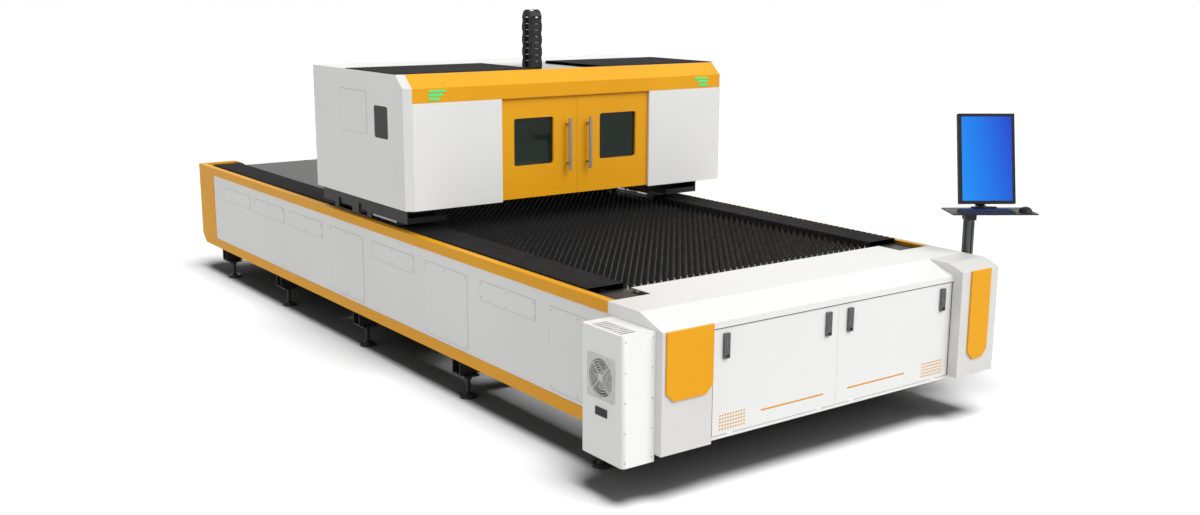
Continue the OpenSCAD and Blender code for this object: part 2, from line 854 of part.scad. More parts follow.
// Plates over the rail ends and the flat deck behind the slats
module deck_plates() {
  color(steel_grey) {
    both_sides() {
      corner_plate(half_w - notch_w, half_w - lip_w, cab_l, bellows_y - panel_gap);
      corner_plate(beam_x0, half_w - lip_w, rail_y1 + panel_gap, bed_l - skirt_t);
    }
    block([-beam_x0, table_end + panel_gap, bed_top - deck_drop - deck_t],
       [beam_x0, rear_y - skirt_t, bed_top - deck_drop]);
  }
}

// One slat, cut from plate with a row of triangular teeth
module slat() {
  along_y(0, slat_t)
    polygon(concat(
      [[-slat_half, slat_z]],
      [[slat_half, slat_z], [slat_half, tip_z - tooth_h]],
      [for (i = [tooth_n - 1:-1:0], s = [1, 0.5])
        [-slat_half + tooth_edge + (i + s) * tooth_pitch, tip_z - (s == 1 ? tooth_h : 0)]],
      [[-slat_half + tooth_edge, tip_z - tooth_h], [-slat_half, tip_z - tooth_h]]
    ));
}

module slats() {
  color(steel_black)
    for (i = [0:slat_n - 1])
      translate([0, table_y + i * slat_pitch, 0]) slat();
}

// Slotted angles on the inner faces of the rail beams
module slat_holders() {
  color(steel_dark)
    both_sides() {
      along_x(comb_x1 - comb_t, comb_x1)
        difference() {
          translate([table_y - comb_over, comb_z])
            square([table_end - table_y + 2 * comb_over, comb_h]);
          for (i = [0:slat_n - 1])
            translate([table_y + i * slat_pitch - slide_gap, slat_z])
              square([slat_t + 2 * slide_gap, slot_d + 1]);
        }
      block([comb_x1, table_y - comb_over, comb_z], [beam_x0, table_end + comb_over, comb_z + comb_t]);
    }
}

// The upper outline of a bellows: flat folds with open notches between them
function fold_line(a0, a1, top, pitch) =
  let (n = round((a1 - a0) / pitch), p = (a1 - a0) / n)
  [for (i = [0:n - 1]) each concat(
    i == 0 ? [[a0, top]] : [[a0 + i * p + pleat_gap / 2, top]],
    i == n - 1 ? [[a1, top]]
         : [[a0 + (i + 1) * p - pleat_gap / 2, top], [a0 + (i + 1) * p, top - pleat_d]]
  )];

// A rail bellows between two places along the bed
module rail_bellow(y0, y1) {
  z0 = seat_z + slide_gap;
  difference() {
    along_x(bellows_x0, bellows_x0 + bellows_w)
      polygon(concat([[y1, z0], [y0, z0]], fold_line(y0, y1, bellows_top, pleat_pitch)));
    block([bellows_x0 + bellows_wall, y0 - 1, z0 - 1],
       [bellows_x0 + bellows_w - bellows_wall, y1 + 1, bellows_top - pleat_d - bellows_wall / 2]);
  }
}

module rail_bellows() {
  color(steel_dark)
    both_sides() {
      rail_bellow(bellows_y, block_ys[0] - slide_gap);
      rail_bellow(block_ys[1] + block_l + slide_gap, rail_y1);
    }
}

// The section of a guide rail, waisted for the running rollers
module guide_rail_section() {
  w = rail_w / 2;
  waist = rail_w / 6;
  polygon([
    [-w, 0], [w, 0], [w, rail_h * 0.35], [w - waist, rail_h * 0.55], [w - waist, rail_h * 0.7],
    [w, rail_h * 0.85], [w, rail_h], [-w, rail_h], [-w, rail_h * 0.85],
    [-w + waist, rail_h * 0.7], [-w + waist, rail_h * 0.55], [-w, rail_h * 0.35]
  ]);
}

module guide_rails() {
  color(steel_bright)
    both_sides()
      translate([rail_x, 0, seat_z]) along_y(rail_y0, rail_y1 - pleat_pitch) guide_rail_section();
}

module gear_racks() {
  color(steel_bright)
    both_sides()
      block([rack_x0, rail_y0, seat_z], [rack_x0 + rack_w, rail_y1 - pleat_pitch, seat_z + rack_h]);
}

// The front cover's sheet in (y, z), back to the place given
module cover_profile(back_y) {
  polygon([
    [back_y, bed_top], [slope_y, bed_top], [0, slope_z], [0, slope_z - sheet_t],
    [sheet_t, slope_z - sheet_t], [slope_y + sheet_t * slope_k, bed_top - sheet_t],
    [back_y, bed_top - sheet_t]
  ]);
}

// Folded cover over the cabinet: sloped front, flat top, apron and left cheek
module front_cover() {
  cheek = [[sheet_t, slope_z], [cab_l, slope_z], [cab_l, bed_top - sheet_t],
      [slope_y + sheet_t * slope_k, bed_top - sheet_t]];
  color(paint_white) {
    along_x(-half_w, pillar_x) cover_profile(cab_l);
    block([-half_w + notch_w, cab_l, bed_top - sheet_t], [half_w - notch_w, cover_y, bed_top]);
    block([-half_w + notch_w, cover_y - sheet_t, bed_top - corner_drop],
       [half_w - notch_w, cover_y, bed_top - sheet_t]);
    block([pillar_x, slope_y, bed_top - sheet_t], [half_w, cab_l, bed_top]);
    block([-pillar_x, 0, apron_z], [pillar_x, sheet_t, slope_z - sheet_t]);
    along_x(-half_w, -half_w + sheet_t) polygon(cheek);
  }
}

// A hinge lug on the sill with its pin
module hinge_lug(x) {
  block([x - lug_w / 2, hinge_y - hinge_r - 3, sill_z - 1], [x + lug_w / 2, hinge_y + hinge_r + 3, hinge_z]);
  translate([x - lug_w / 2, hinge_y, hinge_z]) rotate([0, 90, 0]) cylinder(r = hinge_r + 3, h = lug_w);
  translate([x - lug_w / 2 - hinge_pin_l, hinge_y, hinge_z])
    rotate([0, 90, 0]) cylinder(r = hinge_r, h = lug_w + 2 * hinge_pin_l);
}

// The places of a door's two hinge lugs
function lug_xs(span) = [span[0] + lug_inset, span[1] - lug_inset];

// Open-fronted carcass with a mullion and the hinge lugs of both doors
module front_cabinet() {
  color(paint_white) {
    difference() {
      block([-pillar_x, sheet_t, sill_z - sill_h], [pillar_x, cab_l, apron_z]);
      block([-pillar_x + sheet_t, -1, sill_z], [pillar_x - sheet_t, cab_l - sheet_t, apron_z - sheet_t]);
    }
    block([cdoor_seam - mullion_w / 2, mullion_y0, sill_z - 1],
       [cdoor_seam + mullion_w / 2, cdoor_y0 + cdoor_t + mullion_d, apron_z - 1]);
    for (x = concat(lug_xs(cdoor_left), lug_xs(cdoor_right))) hinge_lug(x);
  }
}

// Folded left corner of the cabinet
module pillar_left() {
  color(paint_white)
    difference() {
      block([-half_w, 0, left_pillar_z], [-pillar_x, cab_l, slope_z - sheet_t]);
      block([-half_w + sheet_t, sheet_t, left_pillar_z + sheet_t],
         [-pillar_x - sheet_t, cab_l + 1, slope_z]);
    }
  color(paint_white)
    block([-half_w, sheet_t + sheet_t / slope_k, slope_z - sheet_t], [-half_w + sheet_t, cab_l, slope_z]);
}

// Folded right corner of the cabinet, which stands forward of the doors
module pillar_right() {
  front_z = bed_top - right_drop;
  crest_y = -right_step + right_drop / slope_k;
  skin = 3 * sheet_t;
  color(paint_white)
    difference() {
      along_x(pillar_x, half_w)
        polygon([
          [-right_step, right_pillar_z], [cab_l, right_pillar_z], [cab_l, bed_top - sheet_t],
          [slope_y, bed_top - sheet_t], [slope_y, bed_top], [crest_y, bed_top], [-right_step, front_z]
        ]);
      along_x(pillar_x + sheet_t, half_w - sheet_t)
        polygon([
          [-right_step + sheet_t, right_pillar_z + sheet_t], [cab_l + 1, right_pillar_z + sheet_t],
          [cab_l + 1, bed_top - skin], [crest_y, bed_top - skin],
          [-right_step + sheet_t, front_z - skin + sheet_t]
        ]);
    }
}

// A trim plate in (x, z) with its two lower corners cut
module trim_outline(w, h) {
  polygon([[0, h], [0, trim_cut], [trim_cut, 0], [w - trim_cut, 0], [w, trim_cut], [w, h]]);
}

module trim_plates() {
  gap = (pillar_w - right_trim_w) / 2;
  color(paint_orange) {
    translate([-half_w + (pillar_w - left_trim_w) * 0.85, 0, slope_z - left_trim_h])
      along_y(-trim_t, 0) trim_outline(left_trim_w, left_trim_h);
    translate([half_w - gap - right_trim_w, 0, bed_top - right_drop - right_trim_h])
      along_y(-right_step - trim_t, -right_step) trim_outline(right_trim_w, right_trim_h);
  }
}

// A bottom-hinged cabinet door with vent holes near its outer corner
module cabinet_door(span, vent_side) {
  vent_x = vent_side < 0 ? span[0] + vent_inset : span[1] - vent_inset - (vent_cols - 1) * vent_pitch;
  color(paint_white)
    difference() {
      block([span[0], cdoor_y0, cdoor_z0], [span[1], cdoor_y0 + cdoor_t, cdoor_z1]);
      for (x = lug_xs(span)) {
        block([x - lug_w / 2 - slide_gap, cdoor_y0 - 1, cdoor_z0 - 1],
           [x + lug_w / 2 + slide_gap, cdoor_y0 + cdoor_t + 1, hinge_z + hinge_r + 4]);
        translate([x - lug_w / 2 - hinge_pin_l - slide_gap, hinge_y, hinge_z])
          rotate([0, 90, 0])
            cylinder(r = hinge_r + pin_gap, h = lug_w + 2 * (hinge_pin_l + slide_gap));
      }
      for (i = [0:vent_cols - 1], k = [0:vent_rows - 1])
        translate([vent_x + i * vent_pitch, cdoor_y0 + vent_d, cdoor_z0 + vent_inset / 2 + k * vent_pitch])
          rotate([90, 0, 0]) cylinder(d = vent_w, h = vent_d + 1, $fn = 6);
    }
}

module cabinet_door_left() {
  cabinet_door(cdoor_left, -1);
}

module cabinet_door_right() {
  cabinet_door(cdoor_right, 1);
}

// The tray of a latch, with the pin that its lever swings on
module latch_base(x) {
  w = latch_w / 2;
  difference() {
    block([x - w, latch_y0, latch_z1 - latch_h], [x + w, cdoor_y0, latch_z1]);
    block([x - w + latch_wall, latch_y0 - 1, latch_z1 - latch_h + latch_wall],
       [x + w - latch_wall, cdoor_y0 - latch_wall, latch_z1 - latch_wall]);
  }
  translate([x - w + 1, lever_y, lever_z]) rotate([0, 90, 0]) cylinder(r = latch_pin_r, h = latch_w - 2);
}

module latch_bases_left() {
  color(steel_dark) for (i = [0, 1]) latch_base(latch_xs[i]);
}

module latch_bases_right() {
  color(steel_dark) for (i = [2, 3]) latch_base(latch_xs[i]);
}

// A latch lever, hung on its pin
module latch_lever(x) {
  w = latch_w / 2 - latch_wall - slide_gap;
  low = latch_z1 - latch_h + 4 * latch_wall;
  color(steel_grey)
    along_x(x - w, x + w)
      difference() {
        union() {
          translate([lever_y, lever_z]) circle(lever_t / 2);
          translate([lever_y - lever_t / 2, low]) square([lever_t, lever_z - low]);
        }
        translate([lever_y, lever_z]) circle(latch_pin_r + pin_gap);
      }
}

// Cabinet cooler: a closed case with a fan opening, top slots and a fan bracket
module cooler_case() {
  slot_n = 9;
  slot_pitch = cool_w * 0.72 / slot_n;
  color(paint_white)
    difference() {
      union() {
        difference() {
          translate([0, 0, cool_z]) linear_extrude(cool_h) cooler_plan(0);
          translate([0, 0, cool_z + cool_t]) linear_extrude(cool_h - 2 * cool_t) cooler_plan(cool_t);
        }
        block([fan_plate_x, fan_y - fan_hub_r, cool_z + 1],
           [fan_plate_x + cool_t, fan_y + fan_hub_r, cool_z + cool_h - 1]);
        translate([fan_plate_x - 36, fan_y, fan_z]) rotate([0, 90, 0]) cylinder(r = fan_hub_r, h = 37);
        translate([fan_x0 + 4, fan_y, fan_z])
          rotate([0, 90, 0]) cylinder(r = fan_shaft_r, h = fan_plate_x - fan_x0 - 4);
      }
      translate([cool_x - 1, fan_y, fan_z]) rotate([0, 90, 0]) cylinder(r = fan_hole_r, h = cool_t + 2);
      for (i = [0:slot_n - 1])
        translate([cool_x + 20, cool_y + cool_w * 0.14 + i * slot_pitch, cool_z + cool_h - cool_t - 1])
          cube([95, slot_pitch * 0.55, cool_t + 2]);
    }
}

// The cooler's outline seen from above, shrunk by an inset
module cooler_plan(inset) {
  r = cool_r - inset;
  x0 = cool_x + inset;
  x1 = -half_w - inset;
  y0 = cool_y + inset;
  y1 = cool_y + cool_w - inset;
  translate([x0, y0 + r]) square([x1 - x0, y1 - y0 - 2 * r]);
  translate([x0 + r, y0]) square([x1 - x0 - r, y1 - y0]);
  for (y = [y0 + r, y1 - r]) translate([x0 + r, y]) circle(r);
}

// Louvred grille in front of the fan
module cooler_grille() {
  inner = grille_w - 2 * grille_rim;
  pitch = inner / grille_bars;
  color(paint_white)
    along_x(cool_x - grille_t, cool_x)
      translate([fan_y, fan_z]) {
        difference() {
          square(grille_w, center = true);
          square(inner, center = true);
        }
        for (i = [1:grille_bars - 1])
          translate([-inner / 2 - 1, -inner / 2 + i * pitch - grille_bar_h / 2])
            square([inner + 2, grille_bar_h]);
        translate([-grille_bar_h / 2, -inner / 2 - 1]) square([grille_bar_h, inner + 2]);
      }
}

module cooler_display() {
  top = fan_z - grille_w / 2 - 46;
  color("#1B1D1F")
    block([cool_x - 4, fan_y - display_w / 2, top - display_h], [cool_x, fan_y + display_w / 2, top]);
}

// Fan with pitched blades on a hub
module cooler_fan() {
  blade_w = 46;
  blade_t = 2.5;
  blade_angle = 28;
  color(steel_dark)
    translate([fan_x0 + fan_hub_l / 2, fan_y, fan_z])
      difference() {
        union() {
          rotate([0, 90, 0]) cylinder(r = fan_hub_r, h = fan_hub_l, center = true);
          for (i = [0:fan_blades - 1])
            rotate([i * 360 / fan_blades, 0, 0])
              translate([0, 0, (fan_hub_r + fan_r) / 2 - 3])
                rotate([0, 0, 90 - blade_angle])
                  cube([blade_w, blade_t, fan_r - fan_hub_r], center = true);
        }
        rotate([0, 90, 0]) cylinder(r = fan_shaft_r + pin_gap, h = fan_hub_l + 2, center = true);
      }
}

// Grooved square post on two bracket arms, with a spigot for the swivel
module console_post() {
  w = post_w / 2;
  color(steel_grey) {
    difference() {
      block([post_x - w, post_y - w, post_z], [post_x + w, post_y + w, post_top]);
      for (a = [0:90:270])
        translate([post_x, post_y, 0]) rotate([0, 0, a])
          block([w - 8, -6, post_z - 1], [w + 1, 6, post_top - 12]);
    }
    translate([post_x, post_y, post_top - 1]) cylinder(r = spigot_r, h = collar_h - 10);
    for (z = [post_z + arm_h, post_top - 5 * arm_h])
      block([half_w, post_y - w + 10, z], [post_x - w, post_y + w - 10, z + arm_h]);
  }
}

// Places the console's own parts: x along the tray, y to its back
module on_console() {
  translate([post_x, post_y, 0]) rotate([0, 0, console_yaw])
    translate([tray_side, -tray_front, tray_z]) children();
}

// Keyboard tray with its swivel collar
module keyboard_tray() {
  collar = post_w + 20;
  color(steel_black)
    on_console()
      difference() {
        union() {
          block([-tray_w / 2, -tray_d / 2, 0], [tray_w / 2, tray_d / 2, tray_t]);
          translate([-tray_side - collar / 2, tray_front - collar / 2, slide_gap - collar_h])
            cube([collar, collar, collar_h]);
        }
        translate([-tray_side, tray_front, -collar_h - 1])
          cylinder(r = spigot_r + pin_gap, h = collar_h - 4);
      }
}

// Keyboard: a sloped base with rows of keys
module keyboard() {
  rows = 5;
  cols = 15;
  key = (keyboard_w - 14) / cols;
  key_d = (keyboard_d - 14) / rows;
  color("#1C2440")
    on_console()
      translate([-keyboard_w / 2 - 40, -tray_d / 2 + 4, tray_t]) {
        cube([keyboard_w, keyboard_d, 12]);
        for (i = [0:cols - 1], k = [0:rows - 1])
          translate([8 + i * key, 8 + k * key_d, 11]) cube([key - 3, key_d - 3, 5]);
      }
}

// Mouse: a low rounded body
module mouse() {
  r = 30;
  color(steel_black)
    on_console()
      translate([tray_w / 2 - 60, -tray_d / 2 + 62, tray_t])
        intersection() {
          translate([0, 0, 15]) scale(1.7) translate([0, 0, -18]) sphere(r);
          translate([-r, -52, 0]) cube([2 * r, 104, 36]);
        }
}

// Stand fixed to the tray, with the pivot pin that carries the monitor
module monitor_bracket() {
  foot_w = 160;
  arm_w = 60;
  arm_t = 12;
  foot_y = monitor_back + monitor_t + 12;
  arm_y = pivot_y + pivot_lug_r + 2;
  ear = pivot_r + 3;
  color(steel_black)
    on_console() {
      block([-foot_w / 2, foot_y, tray_t], [foot_w / 2, tray_d / 2, tray_t + 8]);
      block([-arm_w / 2, foot_y, tray_t], [arm_w / 2, arm_y + arm_t, tray_t + 8]);
      block([-arm_w / 2, arm_y, tray_t], [arm_w / 2, arm_y + arm_t, tray_t + pivot_up + ear]);
      for (sx = [-1, 1])
        translate([sx * (arm_w - arm_t) / 2, 0, tray_t + pivot_up])
          block([-arm_t / 2, pivot_y - ear, -30], [arm_t / 2, arm_y + 1, ear]);
      translate([-arm_w / 2, pivot_y, tray_t + pivot_up])
        rotate([0, 90, 0]) cylinder(r = pivot_r, h = arm_w);
    }
}

// Places the monitor: origin at its lower front edge, tilted back
module on_monitor() {
  on_console()
    translate([0, monitor_back, tray_t + monitor_up]) rotate([-monitor_tilt, 0, 0]) children();
}

// Monitor housing with a recess for the screen and a pivot lug at the back
module monitor_case() {
  color(steel_black) {
    on_monitor()
      difference() {
        block([-monitor_w / 2, 0, 0], [monitor_w / 2, monitor_t, monitor_h]);
        block([-monitor_w / 2 + bezel, -1, bezel], [monitor_w / 2 - bezel, 4, monitor_h - bezel]);
      }
    on_console()
      difference() {
        translate([-17, pivot_y, tray_t + pivot_up])
          rotate([0, 90, 0]) cylinder(r = pivot_lug_r, h = 34);
        translate([-18, pivot_y, tray_t + pivot_up])
          rotate([0, 90, 0]) cylinder(r = pivot_r + pin_gap, h = 36);
      }
  }
}

module monitor_screen() {
  gap = 0.5;
  color("#2F6BE0")
    on_monitor()
      block([-monitor_w / 2 + bezel + gap, 1.5, bezel + gap],
         [monitor_w / 2 - bezel - gap, 4, monitor_h - bezel - gap]);
}

// Box beam across the bed
module gantry_beam() {
  color(steel_grey)
    tube_x([-gantry_half, beam_y, gantry_z], [gantry_half, beam_y + gantry_d, gantry_top], gantry_wall);
}

// The outline of an end carriage's outer cheek in (y, z), with two openings
module cheek_outline() {
  lobe_y0 = pinion_y - lobe_l / 2;
  lobe_z = bed_top + bellows_rise;
  win_z = lobe_z + cheek_rim / 8;
  difference() {
    union() {
      translate([saddle_y, saddle_z]) square([saddle_l, cheek_h]);
      translate([lobe_y0, lobe_z]) square([lobe_l, saddle_z - lobe_z + 1]);
    }
    translate([lobe_y0 + cheek_rim, win_z]) square([cheek_win_1, cheek_win_h]);
    translate([lobe_y0 + lobe_l - cheek_rim - cheek_win_2, win_z]) square([cheek_win_2, cheek_win_h]);
  }
}

// Saddles that ride on the rails and carry the beam and the cabin
module end_carriages() {
  color(steel_dark)
    both_sides()
      difference() {
        union() {
          block([cheek_x0 - saddle_w, saddle_y, saddle_z], [cheek_x0, saddle_y + saddle_l, saddle_top]);
          along_x(cheek_x0, cheek_x1) cheek_outline();
          block([cheek_x0 - saddle_w, beam_y, saddle_top - 1],
             [cheek_x0, beam_y + gantry_d, gantry_z]);
        }
        translate([pinion_x, pinion_y, saddle_z - 1])
          cylinder(r = pinion_shaft_r + 5, h = saddle_t + 2);
      }
}

// Bearing blocks that wrap round the guide rails
module bearing_blocks() {
  low = seat_z + 6;
  color(steel_bright)
    both_sides()
      for (y = block_ys)
        difference() {
          block([rail_x - block_w / 2, y, low], [rail_x + block_w / 2, y + block_l, saddle_z]);
          block([rail_x - rail_w / 2 - slide_gap, y - 1, low - 1],
             [rail_x + rail_w / 2 + slide_gap, y + block_l + 1, seat_z + rail_h + slide_gap]);
        }
}

// Gearbox and motor of each pinion, standing on the saddles
module drive_motors() {
  color(steel_black)
    both_sides()
      translate([pinion_x, pinion_y, saddle_top]) {
        translate([-gearbox_w / 2, -gearbox_w / 2, 0]) cube([gearbox_w, gearbox_w, gearbox_h]);
        translate([0, 0, gearbox_h]) cylinder(r = motor_r, h = motor_h);
      }
}

// A drive pinion with its shaft up to the gearbox
module pinion(x) {
  color(steel_bright)
    translate([x, pinion_y, seat_z + slide_gap]) {
      cylinder(r = pinion_r, h = pinion_h);
      cylinder(r = pinion_shaft_r, h = saddle_top - seat_z - 2 * slide_gap);
    }
}

module pinion_left() {
  pinion(-pinion_x);
}

module pinion_right() {
  pinion(pinion_x);
}

// Rails for the carriage on the beam's front face
module cross_rails() {
  color(steel_bright)
    for (z = cross_rail_zs)
      block([-gantry_half + 10, beam_y - cross_rail_d, z - cross_rail_h / 2],
         [gantry_half - 10, beam_y, z + cross_rail_h / 2]);
}

// The plan of the right side shell in (x, y): side plate and front bevel
module side_shell_plan() {
  t = sheet_t;
  k = t * 0.41;
  polygon([
    [cabin_half, cabin_back_y], [cabin_half, cabin_y + cabin_bevel], [front_half, cabin_y],
    [front_half, cabin_y + t * 1.41], [cabin_half - t, cabin_y + cabin_bevel + k],
    [cabin_half - t, cabin_back_y]
  ]);
}

// The cut of the side shell seen from the side, in (y, z)
module side_shell_outline() {
  slope = canopy_rise / canopy_d;
  drop = (canopy_d + cabin_bevel) * slope;
  polygon([
    [cabin_y - 1, cabin_z], [cabin_back_y + 1, cabin_z], [cabin_back_y + 1, roof_z],
    [cabin_y + canopy_d + cabin_bevel, roof_z], [cabin_y - 1, roof_z - drop]
  ]);
}

// Side shells with a window opening, a screwed hatch and a flange on the cheeks
module cabin_corner(y) {
  zf = canopy_z0 + canopy_h;
  polygon([[y, zf], [y + canopy_d, roof_z], [y + canopy_d, roof_z - sheet_t * 1.4], [y, zf - sheet_t * 1.4]]);
}

module cabin_sides() {
  win_y = cabin_y + side_win_y;
  hatch_y = cabin_y + cab_hatch_y;
  color(paint_white)
    both_sides() {
      difference() {
        intersection() {
          translate([0, 0, cabin_z - 1]) linear_extrude(cabin_h + 2) side_shell_plan();
          along_x(front_half - 1, cabin_half + 1) side_shell_outline();
        }
        along_x(cabin_half - sheet_t - 1, cabin_half + 1)
          translate([win_y, cabin_z + side_win_up]) round_rect(side_win_w, side_win_h, win_r);
      }
      hull() {
        along_x(front_half, front_half + 1) cabin_corner(cabin_y);
        along_x(cabin_half - sheet_t, cabin_half) cabin_corner(cabin_y + cabin_bevel);
      }
      translate([0, 0, roof_z - sheet_t])
        linear_extrude(sheet_t)
          polygon([[front_half, cabin_y + canopy_d - 1], [cabin_half, roof_y0 - 2], [front_half, roof_y0 - 2]]);
      block([cheek_x0, saddle_y, cabin_z], [cabin_half - sheet_t, cabin_back_y - sheet_t, cabin_z + sheet_t]);
      along_x(cabin_half, cabin_half + 2)
        translate([hatch_y, cabin_z + cab_hatch_up]) round_rect(cab_hatch_w, cab_hatch_h, win_r);
    }
}

// Rear wall and roof strip, folded from one sheet, with a ledge for the bellows
module cabin_back() {
  half = cabin_half - sheet_t;
  color(paint_white) {
    block([-half, cabin_back_y - sheet_t, cabin_z], [half, cabin_back_y, roof_z]);
    block([-half, roof_y1, roof_z - sheet_t], [half, cabin_back_y - sheet_t, roof_z]);
    block([-half, roof_y1, ledge_z], [half, roof_y1 + sheet_t, roof_z - sheet_t]);
    block([-half, roof_y1 - ledge_w, ledge_z - sheet_t], [half, roof_y1 + sheet_t, ledge_z]);
  }
}

// Front panels beside the doors, with folded edges at the opening
module cabin_front_panels() {
  x0 = opening_w / 2;
  color(paint_white)
    both_sides() {
      block([x0, cabin_y, cabin_z], [front_half, cabin_y + sheet_t, canopy_z0]);
      block([x0, cabin_y + sheet_t, cabin_z], [x0 + sheet_t, cabin_y + fold_d, canopy_z0]);
    }
}

// Folded canopy with the bellows ledge at its back and the door track inside
module canopy() {
  t = sheet_t;
  y1 = cabin_y + canopy_d;
  zf = canopy_z0 + canopy_h;
  track_z = sdoor_z1 + slide_gap;
  color(paint_orange) {
    along_x(-front_half, front_half)
      polygon([
        [cabin_y, canopy_z0], [cabin_y, zf], [y1, roof_z], [roof_y0, roof_z], [roof_y0, ledge_z],
        [roof_y0 + ledge_w, ledge_z], [roof_y0 + ledge_w, ledge_z - t], [roof_y0 - t, ledge_z - t],
        [roof_y0 - t, roof_z - t], [y1 + t * 0.41, roof_z - t], [cabin_y + t, zf - t * 0.41],
        [cabin_y + t, canopy_z0]
      ]);
    block([-front_half, cabin_y + t - 1, track_z], [front_half, sdoor_y + sdoor_t, track_z + 20]);
  }
}

// A roof bellows between two places across the cabin
module roof_bellow(x0, x1) {
  y0 = roof_y0 + slide_gap;
  y1 = roof_y1 - slide_gap;
  z0 = ledge_z + slide_gap;
  top = roof_z + 5;
  difference() {
    along_y(y0, y1)
      polygon(concat([[x1, z0], [x0, z0]], fold_line(x0, x1, top, pleat_pitch)));
    block([x0 - 1, y0 + ledge_w - 4, z0 - 1], [x1 + 1, y1 - ledge_w + 4, top - pleat_d - bellows_wall / 2]);
  }
}

module roof_bellows() {
  half = cabin_half - sheet_t - slide_gap;
  color(steel_dark) {
    roof_bellow(-half, car_x0 - slide_gap);
    roof_bellow(car_x1 + slide_gap, half);
  }
}

// Three plain lamp bars near each end of the canopy
module status_lamps() {
  z0 = canopy_z0 + (canopy_h - 2 * lamp_pitch - lamp_h) / 2;
  color("#3BE08A")
    both_sides()
      for (k = [0:2])
        block([front_half - lamp_inset - lamp_w, cabin_y - lamp_t, z0 + k * lamp_pitch],
           [front_half - lamp_inset, cabin_y, z0 + k * lamp_pitch + lamp_h]);
}

module side_windows() {
  x1 = cabin_half - sheet_t;
  color("#2E3A34")
    both_sides()
      along_x(x1 - glass_t, x1)
        translate([cabin_y + side_win_y, cabin_z + side_win_up])
          round_rect(side_win_w + 2 * glass_lap, side_win_h + 2 * glass_lap, win_r);
}

// A sliding door with a stepped window opening, s = -1 left, 1 right
module cabin_door(s) {
  front = sdoor_t - glass_t;
  color(paint_orange)
    difference() {
      block([s < 0 ? -sdoor_half : panel_gap / 2, sdoor_y, sdoor_z0],
         [s < 0 ? -panel_gap / 2 : sdoor_half, sdoor_y + sdoor_t, sdoor_z1]);
      translate([s * win_x, 0, sdoor_z0 + win_up]) {
        along_y(sdoor_y - 1, sdoor_y + sdoor_t + 1) round_rect(win_w, win_h, win_r);
        along_y(sdoor_y + front, sdoor_y + sdoor_t + 1)
          round_rect(win_w + 2 * glass_lap, win_h + 2 * glass_lap, win_r);
      }
    }
}

module cabin_door_left() {
  cabin_door(-1);
}

module cabin_door_right() {
  cabin_door(1);
}

// A pane seated in the step at the back of its door
module door_window(s) {
  gap = 0.5;
  color("#2E3A34")
    translate([s * win_x, 0, sdoor_z0 + win_up])
      along_y(sdoor_y + sdoor_t - glass_t, sdoor_y + sdoor_t)
        round_rect(win_w + 2 * glass_lap - gap, win_h + 2 * glass_lap - gap, win_r);
}

module door_window_left() {
  door_window(-1);
}

module door_window_right() {
  door_window(1);
}

// A tube handle on two posts
module door_handle(s) {
  bar_y = sdoor_y - handle_out;
  z0 = sdoor_z0 + handle_up - handle_l / 2;
  color(steel_bright)
    translate([s * handle_x, 0, z0]) {
      translate([0, bar_y, 0]) cylinder(r = handle_r, h = handle_l);
      for (z = [handle_end, handle_l - handle_end])
        translate([0, sdoor_y, z]) rotate([90, 0, 0]) cylinder(r = handle_r * 0.6, h = handle_out);
    }
}

module door_handle_left() {
  door_handle(-1);
}

module door_handle_right() {
  door_handle(1);
}

// Carriage: plate on the cross rails, lift rails, column and the roof plate
module x_carriage() {
  plate_x1 = head_ax + lift_w / 2 + 40;
  plate_z1 = car_z0 + car_plate_h;
  roof_plate_z = ledge_z + slide_gap;
  motor_x = carriage_x;
  color(steel_grey) {
    block([car_x0, car_y0, car_z0], [plate_x1, car_y1, plate_z1]);
    block([car_x0 + 60, car_y0, plate_z1 - 1], [car_x1 - 60, car_y1, roof_plate_z + 1]);
    block([car_x0, roof_y0 + 1, roof_plate_z], [car_x1, roof_y1 - 1, roof_plate_z + 8]);
    for (x = [car_x0 + car_block_l, plate_x1 - car_block_l], z = cross_rail_zs)
      difference() {
        block([x - car_block_l / 2, car_y1 - 1, z - car_block_h / 2],
           [x + car_block_l / 2, beam_y - cross_rail_d / 2, z + car_block_h / 2]);
        block([x - car_block_l, beam_y - cross_rail_d - slide_gap, z - cross_rail_h / 2 - slide_gap],
           [x + car_block_l, beam_y, z + cross_rail_h / 2 + slide_gap]);
      }
    for (s = [-1, 1])
      translate([head_ax + s * lift_rail_span / 2, 0, 0])
        block([-lift_rail_w / 2, car_y0 - lift_rail_d, car_z0], [lift_rail_w / 2, car_y0 + 1, plate_z1]);
    translate([motor_x, car_y1 - 1, plate_z1 + motor_r + 10])
      rotate([-90, 0, 0]) cylinder(r = motor_r, h = motor_h * 0.7);
  }
}

// Lift plate that carries the cutting head on the lift rails
module lift_plate() {
  slant = 40;
  x0 = head_ax - lift_w / 2;
  x1 = head_ax + lift_w / 2;
  z1 = lift_z + lift_h;
  guide_h = 90;
  color(steel_dark) {
    along_y(lift_y0, lift_y1)
      polygon([[x0, lift_z], [x1, lift_z], [x1, z1], [x0 + slant, z1], [x0, z1 - 3 * slant]]);
    for (s = [-1, 1], z = [lift_z + 20, z1 - 20 - guide_h])
      translate([head_ax + s * lift_rail_span / 2, 0, z])
        difference() {
          block([-lift_rail_w, lift_y1 - 1, 0], [lift_rail_w, car_y0 - slide_gap, guide_h]);
          block([-lift_rail_w / 2 - slide_gap, car_y0 - lift_rail_d - slide_gap, -1],
             [lift_rail_w / 2 + slide_gap, car_y0 + 1, guide_h + 1]);
        }
  }
}

